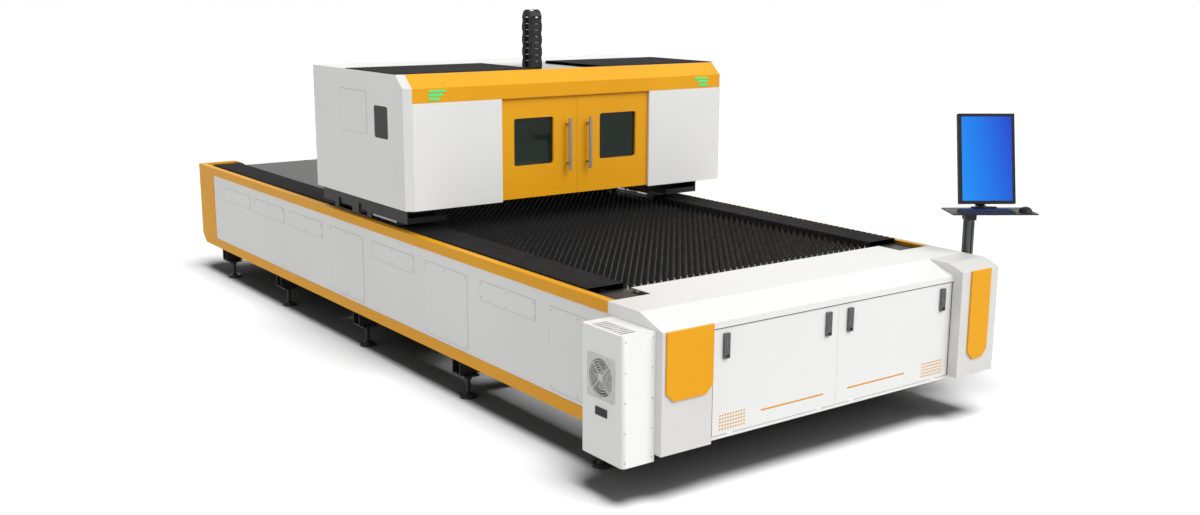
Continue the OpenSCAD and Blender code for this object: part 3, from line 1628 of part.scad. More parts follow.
// Cutting head: body, barrel, cone and nozzle turned about one axis
module cutting_head() {
  color(steel_black)
    translate([head_ax, head_ay, 0]) {
      translate([-head_w / 2, -head_d / 2, body_z]) cube([head_w, head_d, head_h]);
      translate([0, 0, barrel_z]) cylinder(r = barrel_r, h = barrel_l + 1);
      translate([0, 0, barrel_z + barrel_l * 0.55]) cylinder(r = barrel_r + 4, h = 26);
      translate([0, 0, nozzle_z + nozzle_l]) cylinder(r1 = cone_r, r2 = barrel_r, h = cone_l);
      difference() {
        translate([0, 0, nozzle_z]) cylinder(r1 = cone_r / 3, r2 = cone_r, h = nozzle_l);
        translate([0, 0, nozzle_z - 1]) cylinder(r = 1.5, h = nozzle_l);
      }
    }
}

// The joints of the cable chain in (y, z): up, round the bend and down
function chain_joint(i) =
  i <= chain_run ? [0, i * chain_pitch]
  : i >= chain_run + chain_bend ? [2 * chain_r, (2 * chain_run + chain_bend - i) * chain_pitch]
  : let (a = 180 - (i - chain_run) * 180 / chain_bend)
   [chain_r + chain_r * cos(a), chain_run * chain_pitch + chain_r * sin(a)];

// The side plate of a link between two joints, in (y, z)
module link_plate(a, b) {
  d = b - a;
  len = norm(d);
  r = chain_h / 2;
  translate(a) rotate(atan2(d[1], d[0])) {
    circle(r);
    translate([len, 0]) circle(r);
    translate([0, -r]) square([len, 2 * r]);
  }
}

// A chain link: two side plates, a lid, a cross bar and the pins of its first joint
module chain_link(i) {
  a = chain_joint(i);
  b = chain_joint(i + 1);
  d = b - a;
  wide = i % 2 == 0;
  x1 = wide ? chain_w / 2 : chain_w / 2 - link_t - slide_gap;
  for (s = [0, 1])
    mirror([s, 0, 0])
      difference() {
        along_x(x1 - link_t, x1) link_plate(a, b);
        if (!wide)
          for (p = [a, b])
            translate([x1 - link_t - 1, p[0], p[1]])
              rotate([0, 90, 0]) cylinder(r = link_pin_r + pin_gap, h = link_t + 2);
      }
  if (wide)
    for (p = [a, b], s = [-1, 1])
      translate([s * (x1 - link_t - slide_gap / 2) - link_t, p[0], p[1]])
        rotate([0, 90, 0]) cylinder(r = link_pin_r, h = 2 * link_t - 1);
  translate([0, (a[0] + b[0]) / 2, (a[1] + b[1]) / 2])
    rotate([atan2(d[1], d[0]), 0, 0]) {
      translate([0, 0, 3 - chain_h / 2]) cube([2 * x1 - 1, 10, 6], center = true);
      translate([0, 0, chain_h / 2 + slide_gap + lid_t / 2])
        cube([2 * x1, chain_pitch - panel_gap, lid_t], center = true);
      for (s = [-1, 1])
        translate([s * (x1 - link_t / 2), 0, chain_h / 2])
          cube([link_t, chain_pitch - panel_gap, lid_t], center = true);
    }
}

// Cable chain standing on the carriage's roof plate, with its end brackets
module cable_chain() {
  foot_z = ledge_z + slide_gap + 8;
  color(steel_black) {
    translate([chain_ax, chain_front, chain_z])
      for (i = [0:chain_n - 1]) chain_link(i);
    for (y = [chain_front, chain_front + 2 * chain_r])
      block([chain_ax - chain_w / 2 + 2 * link_t - 1, y - 5, foot_z],
         [chain_ax + chain_w / 2 - 2 * link_t + 1, y + 5, chain_z + chain_h / 4]);
  }
}

// Moves the whole machine so that the origin is on the floor under its middle
module placed() {
  translate([-mid_x, -mid_y, 0]) children();
}

placed() bed_frame();
placed() leg_channels();
placed() levelling_feet();
placed() side_frames();
placed() side_panels();
placed() rear_panel();
placed() deck_plates();
placed() slats();
placed() slat_holders();
placed() rail_bellows();
placed() guide_rails();
placed() gear_racks();
placed() front_cover();
placed() front_cabinet();
placed() pillar_left();
placed() pillar_right();
placed() trim_plates();
placed() cooler_case();
placed() cooler_grille();
placed() cooler_display();
placed() console_post();
placed() cabinet_door_left();
placed() cabinet_door_right();
placed() latch_bases_left();
placed() latch_bases_right();
placed() latch_lever(latch_xs[0]);  // latch_lever_1
placed() latch_lever(latch_xs[1]);  // latch_lever_2
placed() latch_lever(latch_xs[2]);  // latch_lever_3
placed() latch_lever(latch_xs[3]);  // latch_lever_4
placed() cooler_fan();
placed() keyboard_tray();
placed() keyboard();
placed() mouse();
placed() monitor_bracket();
placed() monitor_case();
placed() monitor_screen();
placed() gantry_beam();
placed() end_carriages();
placed() bearing_blocks();
placed() drive_motors();
placed() cross_rails();
placed() cabin_sides();
placed() cabin_back();
placed() cabin_front_panels();
placed() canopy();
placed() roof_bellows();
placed() status_lamps();
placed() side_windows();
placed() cabin_door_left();
placed() cabin_door_right();
placed() door_window_left();
placed() door_window_right();
placed() door_handle_left();
placed() door_handle_right();
placed() x_carriage();
placed() cable_chain();
placed() lift_plate();
placed() cutting_head();
placed() pinion_left();
placed() pinion_right();
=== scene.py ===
import math

import bmesh
import bpy
from mathutils import Matrix, Vector


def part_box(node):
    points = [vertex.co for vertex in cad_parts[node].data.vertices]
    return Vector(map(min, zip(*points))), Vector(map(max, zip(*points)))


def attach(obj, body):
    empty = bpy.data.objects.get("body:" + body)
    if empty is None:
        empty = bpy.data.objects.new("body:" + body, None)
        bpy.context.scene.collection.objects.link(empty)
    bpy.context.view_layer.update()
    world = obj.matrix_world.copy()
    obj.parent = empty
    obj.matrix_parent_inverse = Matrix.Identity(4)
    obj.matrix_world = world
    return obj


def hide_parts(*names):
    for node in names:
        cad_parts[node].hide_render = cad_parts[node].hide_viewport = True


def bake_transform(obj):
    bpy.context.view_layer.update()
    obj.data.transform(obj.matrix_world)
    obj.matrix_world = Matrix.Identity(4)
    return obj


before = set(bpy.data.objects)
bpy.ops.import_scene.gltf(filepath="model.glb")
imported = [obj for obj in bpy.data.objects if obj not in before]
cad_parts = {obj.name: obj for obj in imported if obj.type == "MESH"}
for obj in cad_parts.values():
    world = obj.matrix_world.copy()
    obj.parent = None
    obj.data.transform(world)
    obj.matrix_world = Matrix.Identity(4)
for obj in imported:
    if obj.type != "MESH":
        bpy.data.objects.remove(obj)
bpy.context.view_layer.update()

# Studio: a pale floor without an edge, a broad soft lamp from the front right and a weak fill from the left.
# A lamp nearly straight above lights only the floor, so that the shadow under the machine is deep.
# The camera stands off the front left corner, 2.6 m above the floor.
scene = bpy.context.scene
scene.view_settings.view_transform = "Standard"


def srgb(code):
    """An sRGB hex colour as linear red, green, blue and full alpha."""
    parts = [int(code[i : i + 2], 16) / 255 for i in (1, 3, 5)]
    return tuple(p / 12.92 if p <= 0.04045 else ((p + 0.055) / 1.055) ** 2.4 for p in parts) + (1.0,)


def add_node(tree, kind, settings=None, inputs=None):
    """Adds a shader node; an input is a value or another node's output."""
    made = tree.nodes.new("ShaderNode" + kind)
    for name, value in (settings or {}).items():
        setattr(made, name, value)
    for name, value in (inputs or {}).items():
        if isinstance(value, bpy.types.NodeSocket):
            tree.links.new(value, made.inputs[name])
        else:
            made.inputs[name].default_value = value
    return made


def new_finish(name, colour, roughness, metallic=0.0):
    """A material with its shader, named for what the surface is."""
    finish = bpy.data.materials.new(name)
    finish.use_nodes = True
    shader = finish.node_tree.nodes["Principled BSDF"]
    shader.inputs["Base Color"].default_value = srgb(colour)
    shader.inputs["Roughness"].default_value = roughness
    shader.inputs["Metallic"].default_value = metallic
    return finish, finish.node_tree, shader


def sun(name, strength, width_deg, aim):
    """A far lamp, as wide as a softbox, that shines along the given direction."""
    lamp = bpy.data.objects.new(name, bpy.data.lights.new(name, "SUN"))
    scene.collection.objects.link(lamp)
    lamp.data.energy = strength
    lamp.data.angle = math.radians(width_deg)
    lamp.rotation_euler = Vector(aim).to_track_quat("-Z", "Y").to_euler()
    return lamp


camera = bpy.data.objects.new("camera", bpy.data.cameras.new("camera"))
scene.collection.objects.link(camera)
camera.data.sensor_width = 36
camera.data.lens = 37.834
camera.data.clip_end = 400
camera.location = (-5.218328, -8.068310, 2.607)
heading = Matrix.Rotation(math.radians(-36.06), 4, "Z")
pitch = Matrix.Rotation(math.radians(77.88), 4, "X")
roll = Matrix.Rotation(math.radians(0.277), 4, "Z")
camera.rotation_euler = (heading @ pitch @ roll).to_euler()
scene.camera = camera

# The sky is plain white to the eye and in reflections; as a light it is weaker, and brightest overhead.
world = bpy.data.worlds.new("studio sky")
scene.world = world
world.use_nodes = True
sky = world.node_tree
sky.nodes.clear()
ray = add_node(sky, "LightPath").outputs
seen = add_node(sky, "Math", {"operation": "MAXIMUM"}, {0: ray["Is Camera Ray"], 1: ray["Is Glossy Ray"]})
seen = add_node(sky, "Math", {"operation": "MAXIMUM"}, {0: seen.outputs[0], 1: ray["Is Transmission Ray"]})
aim = add_node(sky, "TexCoord")
aim = add_node(sky, "SeparateXYZ", {}, {"Vector": aim.outputs["Generated"]})
dome = add_node(sky, "MapRange", {}, {"Value": aim.outputs["Z"], "To Min": 0.38, "To Max": 0.7})
level = add_node(sky, "MapRange", {}, {"Value": seen.outputs[0], "To Min": dome.outputs[0], "To Max": 1.0})
backdrop = add_node(sky, "Background", {}, {"Color": srgb("#FFFFFF"), "Strength": level.outputs[0]})
add_node(sky, "OutputWorld", {}, {"Surface": backdrop.outputs[0]})

sun("softbox", strength=2.04, width_deg=48, aim=(-0.22, 0.70, -0.72))
sun("side fill", strength=0.24, width_deg=60, aim=(0.9, 0.15, -0.35))

bpy.ops.object.select_all(action="DESELECT")
bpy.ops.mesh.primitive_plane_add(size=300)
floor = bpy.context.object
floor.name = "floor"
# Matt paper: without any gloss, and darker to bounced light than to the eye.
paper, tree, shader = new_finish("matt studio paper", "#FFFFFF", 1.0)
ray = add_node(tree, "LightPath").outputs
tone = add_node(tree, "MapRange", {}, {"Value": ray["Is Camera Ray"], "To Min": 0.08, "To Max": 0.13})
tree.links.new(tone.outputs[0], shader.inputs["Base Color"])
shader.inputs["Specular IOR Level"].default_value = 0.0
floor.data.materials.append(paper)
overhead = sun("overhead", strength=24, width_deg=28, aim=(0.06, 0.34, -0.94))
lit = bpy.data.collections.new("lit from overhead")
lit.objects.link(floor)
overhead.light_linking.receiver_collection = lit

# Bed: two welded beams of steel box section with cross members, painted dark, on five open-ended channels.
# Each channel stands on two levelling feet, a turned pad on a screw with a lock nut.


def tone_spread(tree, shader, pale, deep, patch_mm, stretch=(1, 1, 1), detail=3.0):
    """Lets the colour wander between two tones in patches of a real size."""
    where = add_node(tree, "TexCoord")
    spread = add_node(tree, "Mapping", {}, {"Vector": where.outputs["Object"], "Scale": stretch})
    pattern = {"Vector": spread.outputs[0], "Scale": 1000 / patch_mm, "Detail": detail}
    cloud = add_node(tree, "TexNoise", {}, pattern)
    ramp = add_node(tree, "ValToRGB", {}, {"Fac": cloud.outputs["Fac"]})
    for stop, position, colour in zip(ramp.color_ramp.elements, (0.3, 0.7), (deep, pale)):
        stop.position = position
        stop.color = srgb(colour)
    tree.links.new(ramp.outputs["Color"], shader.inputs["Base Color"])
    return spread, cloud


def raised(tree, shader, height, depth_mm, strength):
    """Reads a pattern as a height in mm, as light would on the real surface."""
    bump = add_node(tree, "Bump", {}, {"Height": height, "Distance": depth_mm / 1000, "Strength": strength})
    tree.links.new(bump.outputs[0], shader.inputs["Normal"])


def grained(tree, shader, spread, grain_mm, detail, depth_mm, strength):
    """Covers a surface with a fine raised grain of a real size."""
    pattern = {"Vector": spread.outputs[0], "Scale": 1000 / grain_mm, "Detail": detail}
    grain = add_node(tree, "TexNoise", {}, pattern)
    raised(tree, shader, grain.outputs["Fac"], depth_mm, strength)


def powder_coat(name, pale, deep, roughness, gloss=0.5):
    """Baked powder on sheet steel: an even semi-gloss with a fine orange-peel ripple and an even tone.
    The ripple is about 2 mm on the real sheet and is drawn at 7 mm so that it shows."""
    finish, tree, shader = new_finish(name, pale, roughness)
    spread, cloud = tone_spread(tree, shader, pale, deep, 900)
    grained(tree, shader, spread, grain_mm=7, detail=2.0, depth_mm=0.25, strength=0.25)
    sheen = add_node(tree, "MapRange", {}, {
        "Value": cloud.outputs["Fac"], "From Min": 0.3, "From Max": 0.7,
        "To Min": roughness - 0.05, "To Max": roughness + 0.06,
    })
    tree.links.new(sheen.outputs[0], shader.inputs["Roughness"])
    shader.inputs["Specular IOR Level"].default_value = gloss
    return finish


def dress(node, finish, edge_mm=0.0):
    """Gives a CAD node its finish and, where asked, the small radius of its folded or broken edges."""
    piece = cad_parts[node]
    piece.data.materials.clear()
    piece.data.materials.append(finish)
    if edge_mm:
        weld = piece.modifiers.new("joined sheet", "WELD")
        weld.merge_threshold = 0.00005
        fold = piece.modifiers.new("edge radius", "BEVEL")
        fold.width = edge_mm / 1000
        fold.segments = 2
        fold.limit_method = "ANGLE"
        fold.angle_limit = math.radians(40)
        fold.harden_normals = False


# Dark grey coat: the beams stay in the background. Black coat: legs, brackets and motors, with a soft sheen.
dark_coat = powder_coat("powder-coated steel, dark grey", "#2B2B2C", "#202021", 0.5)
black_coat = powder_coat("powder-coated steel, black", "#1B1B1C", "#131314", 0.45)
dress("bed_frame", dark_coat)
dress("leg_channels", black_coat, 2.0)
dress("levelling_feet", black_coat)

# Side cladding: folded orange frames along both sides, white panels inside them, and a white rear panel.
# Bent from 2 mm sheet, powder coated; each service hatch is a flat plate held by small pan-head screws.
# Orange coat: warm and strong, with little gloss. White coat: clean, a touch below paper white.
orange_coat = powder_coat("powder-coated steel, orange", "#F2AC0F", "#ECA30B", 0.42, 0.3)
white_coat = powder_coat("powder-coated steel, white", "#EFEFED", "#E9E9E7", 0.38)
dress("side_frames", orange_coat, 3.0)
dress("side_panels", white_coat, 1.0)
dress("rear_panel", white_coat, 1.5)

panel_low, panel_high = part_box("side_panels")
middle_x = (panel_low.x + panel_high.x) / 2
front_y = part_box("front_cover")[0].y


def place(x, y, z):
    """A point in mm from the machine's middle, front face and floor, in the frame's metres."""
    return Vector((middle_x + x / 1000, front_y + y / 1000, z / 1000))


def alone(*pieces):
    """Closes the open piece and selects only these, the first one active."""
    bpy.ops.object.mode_set(mode="OBJECT")
    bpy.ops.object.select_all(action="DESELECT")
    for piece in pieces:
        piece.select_set(True)
    bpy.context.view_layer.objects.active = pieces[0]


def begin(kind, **settings):
    """Adds a primitive with nothing else selected, and opens it for editing."""
    if bpy.context.mode != "OBJECT":
        bpy.ops.object.mode_set(mode="OBJECT")
    bpy.ops.object.select_all(action="DESELECT")
    getattr(bpy.ops.mesh, "primitive_" + kind + "_add")(**settings)
    bpy.ops.object.mode_set(mode="EDIT")
    return bpy.context.object


def pick(kind, test):
    """Selects the open piece's verts, edges or faces whose middle and normal, or two ends, pass the test."""
    bpy.ops.mesh.select_mode(type={"verts": "VERT", "edges": "EDGE", "faces": "FACE"}[kind])
    bpy.ops.mesh.select_all(action="DESELECT")
    shape = bmesh.from_edit_mesh(bpy.context.object.data)
    for part in getattr(shape, kind):
        if kind == "verts":
            chosen = test(part.co, part.normal)
        elif kind == "edges":
            chosen = test(part.verts[0].co, part.verts[1].co)
        else:
            chosen = test(part.calc_center_median(), part.normal)
        part.select_set(bool(chosen))
    bmesh.update_edit_mesh(bpy.context.object.data)


def turn(angle, axis):
    """Turns what is selected in the open piece about the origin."""
    bpy.ops.transform.rotate(value=angle, orient_axis=axis, center_override=(0, 0, 0))


def modify(piece, kind, **settings):
    """Adds a modifier and applies it at once."""
    alone(piece)
    step = piece.modifiers.new(kind.lower(), kind)
    for name, value in settings.items():
        setattr(step, name, value)
    bpy.ops.object.modifier_apply(modifier=step.name)


def shift(piece, move):
    """Closes a piece and moves its mesh."""
    alone(piece)
    piece.data.transform(Matrix.Translation(move))


def join(pieces):
    """Makes one piece of several; it is the first one."""
    alone(*pieces)
    bpy.ops.object.join()
    return pieces[0]


def copies(piece, moves):
    """Copies a piece, each with its own mesh, to every move and joins them into the first."""
    alone(piece)
    twins = []
    for move in moves[1:]:
        twin = piece.copy()
        twin.data = piece.data.copy()
        twin.data.transform(Matrix.Translation(move))
        scene.collection.objects.link(twin)
        twins.append(twin)
    shift(piece, moves[0])
    join([piece] + twins)


def fit(piece, name, finishes, body):
    """Names a finished piece, applies its place, gives it its finishes and hangs it on its body, if any."""
    alone(piece)
    bpy.ops.object.transform_apply(location=True, rotation=True, scale=True)
    piece.name = name
    piece.data.name = name
    piece.data.materials.clear()
    for finish in finishes:
        piece.data.materials.append(finish)
    if body:
        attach(piece, body)


def screw(axis, angle, radius_mm=5.0):
    """A small pan-head screw with a socket, standing on the origin and turned about the given axis."""
    piece = begin("cylinder", vertices=8, radius=radius_mm / 1000, depth=0.002, location=(0, 0, 0.001))
    pick("faces", lambda c, n: n.z > 0.9)
    bpy.ops.mesh.bevel(offset=0.0006, segments=1)
    pick("faces", lambda c, n: n.z > 0.99 and c.z > 0.0019)
    bpy.ops.mesh.inset(thickness=radius_mm / 2500)
    bpy.ops.transform.translate(value=(0, 0, -0.0011))
    bpy.ops.mesh.select_all(action="SELECT")
    turn(angle, axis)
    return piece


# Zinc-plated screw steel: pale, slightly clouded metal.
zinc_plate, tree, shader = new_finish("zinc-plated screw steel", "#B9BABB", 0.34, 1.0)
tone_spread(tree, shader, "#C4C5C6", "#A6A8AA", 6)

# Sizes and places of the hatches in mm: length, height and the middles along the bed, tall ones first.
hatch_top, first_hatch, hatch_pitch = 852, 740, 737
hatch_kinds = (
    (548, 478, [first_hatch + hatch_pitch * i for i in (0, 2, 4)]),
    (620, 118, [first_hatch + hatch_pitch * i for i in (1, 3, 5, 6, 7)]),
)
panel_face = 1000 * (panel_high.x - middle_x)
screw_inset = 16
both_sides = ((-1, "left"), (1, "right"))

for side, side_name in both_sides:
    spots = []
    for length, height, middles in hatch_kinds:
        reach = length / 2 - screw_inset
        for y in [middle + step for middle in middles for step in (-reach, 0, reach)]:
            for z in (hatch_top - screw_inset, hatch_top - height + screw_inset):
                spots.append(place(side * panel_face, y, z))
    piece = screw("Y", side * -math.pi / 2)
    copies(piece, spots)
    fit(piece, side_name + "_hatch_screws", [zinc_plate], "base")

# Hatch gap shades: a thin pale grey frame lies round every hatch plate, on the bed's sides and on the
# cabin's.
# It is painted shade, 3 mm wide: it stands for the shadow in the gap round each plate.
# Gap shade grey: dull, and just dark enough to draw the painted shadow line on the white sheet.
seal_rubber, tree, shader = new_finish("EPDM rubber strip, pale grey", "#C1C1BE", 0.7)
tone_spread(tree, shader, "#C6C6C3", "#BBBBB8", 20)

# The cabin's hatch: size and middle in mm. The painted shade frames lie a little below the faces of the
# plates.
cabin_hatch_l, cabin_hatch_h = 414, 285
cabin_hatch_y, cabin_hatch_z = 3339, 1766.5
cabin_seal_x, seal_sunk = 1348.3, 2.2


def hatch_seal(length, height, corner=0):
    """A 3 mm frame of painted shade round a hatch of this size in mm, standing on the origin's YZ plane, 1.6
    mm thick.
    """
    line = 0.003
    piece = begin("plane", size=1)
    turn(math.pi / 2, "Y")
    bpy.ops.transform.resize(value=(1, length / 1000 + 2 * line, height / 1000 + 2 * line))
    if corner:
        bpy.ops.mesh.bevel(offset=corner / 1000, segments=4, affect="VERTICES")
    bpy.ops.mesh.inset(thickness=line)
    bpy.ops.mesh.delete(type="FACE")
    modify(piece, "SOLIDIFY", thickness=0.0016, offset=0.0)
    return piece


for side, side_name in both_sides:
    seals = []
    for length, height, middles in hatch_kinds:
        piece = hatch_seal(length, height)
        seal_z = hatch_top - height / 2
        copies(piece, [place(side * (panel_face - seal_sunk), middle, seal_z) for middle in middles])
        seals.append(piece)
    fit(join(seals), side_name + "_hatch_seals", [seal_rubber], "base")
    piece = hatch_seal(cabin_hatch_l, cabin_hatch_h, corner=20)
    shift(piece, place(side * cabin_seal_x, cabin_hatch_y, cabin_hatch_z))
    fit(piece, side_name + "_cabin_hatch_seal", [seal_rubber], "gantry")

# Table: 63 toothed slats of 4 mm hot-rolled strip stand in slotted holders, laser cut, scorched by use.
# The cut edges are bare steel and carry a painted highlight, and the foremost slats are painted pale as a
# painted highlight on their teeth.
# A flat steel deck closes the rear and the front corners.
tooth_count, slat_count = 41, 63
slat_t, tooth_h = 0.004, 0.034

# Scorched strip: near black with a dull sheen.
scorched, tree, shader = new_finish("hot-rolled slat steel, scorched", "#242424", 0.5, 0.4)
tone_spread(tree, shader, "#2B2B2B", "#1D1D1E", 60, detail=5.0)
# Bare edge: clean, slightly clouded metal, paler than the strip as a painted highlight that draws every
# tooth.
bare_edge, tree, shader = new_finish("laser-cut edge, bare steel", "#5C5B5A", 0.45, 0.8)
tone_spread(tree, shader, "#6E6D6C", "#454443", 30)
# Front slats: pale steel colour, a painted highlight on the foremost teeth.
fresh_steel, tree, shader = new_finish("pickled slat steel, unused", "#B7B5B1", 0.4, 0.5)
tone_spread(tree, shader, "#C2C0BC", "#A5A39F", 40)
# Oiled cold-rolled plate: dark, with long rolling streaks along the bed.
deck_steel, tree, shader = new_finish("cold-rolled deck steel, oiled", "#2C2B2A", 0.42, 0.5)
spread, cloud = tone_spread(tree, shader, "#33322F", "#252423", 220, stretch=(1, 0.15, 1), detail=6.0)
raised(tree, shader, cloud.outputs["Fac"], depth_mm=0.3, strength=0.3)
dress("deck_plates", deck_steel, 1.0)
dress("slat_holders", zinc_plate)

slat_low, slat_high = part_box("slats")
tooth_w = (slat_high.x - slat_low.x) / tooth_count
slat_h = slat_high.z - slat_low.z
slat = begin("grid", x_subdivisions=6, y_subdivisions=1, size=1)
bpy.ops.transform.resize(value=(tooth_w, slat_h, 1))
turn(math.pi / 2, "X")
for column in range(-3, 4):
    pick("verts", lambda c, n: abs(c.x - column * tooth_w / 6) < 0.001 and c.z > 0)
    bpy.ops.transform.translate(value=(0, 0, -tooth_h * (1 - (1 - abs(column) / 3) ** 2)))
modify(slat, "ARRAY", count=tooth_count, use_relative_offset=False, use_constant_offset=True,
       constant_offset_displace=(tooth_w, 0, 0), use_merge_vertices=True, merge_threshold=0.0001)
slat.data.materials.append(scorched)
slat.data.materials.append(bare_edge)
modify(slat, "SOLIDIFY", thickness=slat_t, offset=0.0, material_offset_rim=1)
shift(slat, (slat_low.x + tooth_w / 2, slat_low.y + slat_t / 2, slat_low.z + slat_h / 2))
slat_pitch = (slat_high.y - slat_low.y - slat_t) / (slat_count - 1)
modify(slat, "ARRAY", count=slat_count, use_relative_offset=False, use_constant_offset=True,
       constant_offset_displace=(0, slat_pitch, 0))
# The foremost slats take the pale steel: a painted highlight.
little_used = slat_low.y + 0.09
shades = [2 if face.center.y < little_used else face.material_index for face in slat.data.polygons]
fit(slat, "toothed_slats", [scorched, bare_edge, fresh_steel], "base")
slat.data.polygons.foreach_set("material_index", shades)
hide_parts("slats")

# Rails: ground guide rails and milled racks along both beams, under folding covers of coated sheet.
# Each cover is pleated by hand on a former, fixed at the bed's end and pushed by the gantry's bearing block.
# Ground steel: bright, with fine lines along the rail.
ground_steel, tree, shader = new_finish("ground bearing steel", "#B4B6B8", 0.22, 1.0)
tone_spread(tree, shader, "#BEC0C2", "#A4A7AA", 12, stretch=(8, 0.2, 8))
# Milled steel: darker and duller than the rail, with short tool marks.
milled_steel, tree, shader = new_finish("milled rack steel", "#77787A", 0.36, 1.0)
tone_spread(tree, shader, "#838486", "#66686B", 15, stretch=(8, 0.4, 8))
dress("guide_rails", ground_steel)
for node in ("gear_racks", "pinion_left", "pinion_right"):
    dress(node, milled_steel)
dress("bearing_blocks", milled_steel, 1.0)

# Coated cover sheet: almost black, matt, with a fine leathery grain drawn at 4 mm so that it shows.
folding_sheet, tree, shader = new_finish("coated folding-cover sheet", "#1E1D1E", 0.8)
shader.inputs["Specular IOR Level"].default_value = 0.15
spread, cloud = tone_spread(tree, shader, "#232223", "#191819", 140, detail=4.0)
grained(tree, shader, spread, grain_mm=4, detail=3.0, depth_mm=0.2, strength=0.3)

# Rows of vertices that are done wait this far off, out of reach of the next pick.
away = 10


def folding_cover(width, length, height, pleats, depth, gap):
    """One pleated cover from the origin along +Y: flat tops with a fine fold between them,
    notched at both edges, and a skirt down both sides."""
    pitch = length / pleats
    edge = 0.016
    piece = begin("grid", x_subdivisions=3, y_subdivisions=3, size=1)
    bpy.ops.transform.resize(value=(width, 3, 1))
    for side in (-1, 1):
        pick("verts", lambda c, n: 0 < c.x * side < width * 0.3)
        bpy.ops.transform.translate(value=(side * (width / 3 - edge), 0, 0))
    for row, (y, drop) in enumerate(((0, 0), (pitch - gap, 0), (pitch - gap / 2, depth), (pitch, 0))):
        start = row - 1.5
        for share, inner in ((1.0, False), (0.2, True)):
            pick("verts", lambda c, n: abs(c.y - start) < 0.1 and (abs(c.x) < width / 2 - edge / 2) == inner)
            bpy.ops.transform.translate(value=(0, away + y - start, -drop * share))
    bpy.ops.mesh.select_all(action="SELECT")
    bpy.ops.transform.translate(value=(0, -away, 0))
    for side in (-1, 1):
        pick("edges", lambda a, b: a.x * side > width * 0.49 and b.x * side > width * 0.49)
        bpy.ops.mesh.extrude_region_move(TRANSFORM_OT_translate={"value": (0, 0, -height)})
    pick("verts", lambda c, n: c.z < -height + depth / 2 - 0.001)
    bpy.ops.transform.resize(value=(1, 1, 0), center_override=(0, 0, -height))
    bpy.ops.mesh.select_all(action="SELECT")
    bpy.ops.mesh.normals_make_consistent(inside=False)
    modify(piece, "ARRAY", count=pleats, use_relative_offset=False, use_constant_offset=True,
           constant_offset_displace=(0, pitch, 0), use_merge_vertices=True, merge_threshold=0.0001)
    modify(piece, "SOLIDIFY", thickness=0.0014, offset=-1.0)
    return piece


cover_low, cover_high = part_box("rail_bellows")
cover_w, cover_h = 0.2402, cover_high.z - cover_low.z
cover_x, cover_top = 1111.4, 1008
for side, side_name in both_sides:
    for y0, y1, pleats, end_name in ((710, 2949.7, 45, "front"), (3850.3, 6580.5, 55, "rear")):
        piece = folding_cover(cover_w, (y1 - y0) / 1000, cover_h, pleats, depth=0.024, gap=0.022)
        shift(piece, place(side * cover_x, y0, cover_top))
        fit(piece, side_name + "_" + end_name + "_rail_cover", [folding_sheet], None)
        if end_name == "front":
            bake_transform(piece)
        else:
            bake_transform(piece)
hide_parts("rail_bellows")

# Front end: a folded cover with a slope and an apron over the control cabinet, between two corner pillars.
# All bent from coated sheet; the trim plates are orange-coated and stand off the pillars.
# Pale grey coat: the pillars read a shade darker than the white doors beside them.
pale_coat = powder_coat("powder-coated steel, pale grey", "#E1E0DD", "#DAD9D6", 0.4)
dress("front_cover", white_coat, 3.0)
for node in ("front_cabinet", "cabinet_door_left", "cabinet_door_right"):
    dress(node, white_coat)
dress("pillar_left", pale_coat, 2.0)
dress("pillar_right", pale_coat, 2.0)
dress("trim_plates", orange_coat, 3.0)

# Door vents and lining: hexagon plugs of orange plastic sit in the vent holes of both cabinet doors.
# A thin orange line of cut vinyl runs along the foot of each door.
# Orange plastic: flatter and a little darker than the orange coat.
plug_plastic, tree, shader = new_finish("moulded orange plastic", "#E09C02", 0.5)
tone_spread(tree, shader, "#E4A103", "#DA9500", 40)
vent_pitch, vent_columns, vent_rows = 19, 10, 5
vent_y, vent_z = 8.0, 337
line_y, line_z = 5.7, 387
for side_name, first_x, line_x0, line_x1 in (("left", -884, -593.5, -118.5), ("right", 713, 72.5, 553.5)):
    door = side_name + "_cabinet_door"
    piece = begin("cylinder", vertices=6, radius=0.0043, depth=0.0035)
    turn(math.pi / 2, "X")
    pick("faces", lambda c, n: n.y < -0.9)
    bpy.ops.mesh.extrude_region_move(TRANSFORM_OT_translate={"value": (0, -0.0003, 0)})
    bpy.ops.transform.resize(value=(1.4, 1, 1.4))
    bpy.ops.mesh.extrude_region_move(TRANSFORM_OT_translate={"value": (0, -0.0006, 0)})
    bpy.ops.mesh.inset(thickness=0.0015)
    bpy.ops.transform.translate(value=(0, -0.0006, 0))
    copies(piece, [place(first_x + vent_pitch * i, vent_y, vent_z + vent_pitch * k)
                   for i in range(vent_columns) for k in range(vent_rows)])
    fit(piece, side_name + "_vent_plugs", [plug_plastic], door)
    piece = begin("cube", size=1)
    bpy.ops.transform.resize(value=((line_x1 - line_x0) / 1000, 0.0006, 0.009))
    pick("edges", lambda a, b: abs(a.x - b.x) < 0.001 and abs(a.z - b.z) < 0.001)
    bpy.ops.mesh.bevel(offset=0.003, segments=3)
    shift(piece, place((line_x0 + line_x1) / 2, line_y, line_z))
    fit(piece, side_name + "_door_line", [plug_plastic], door)
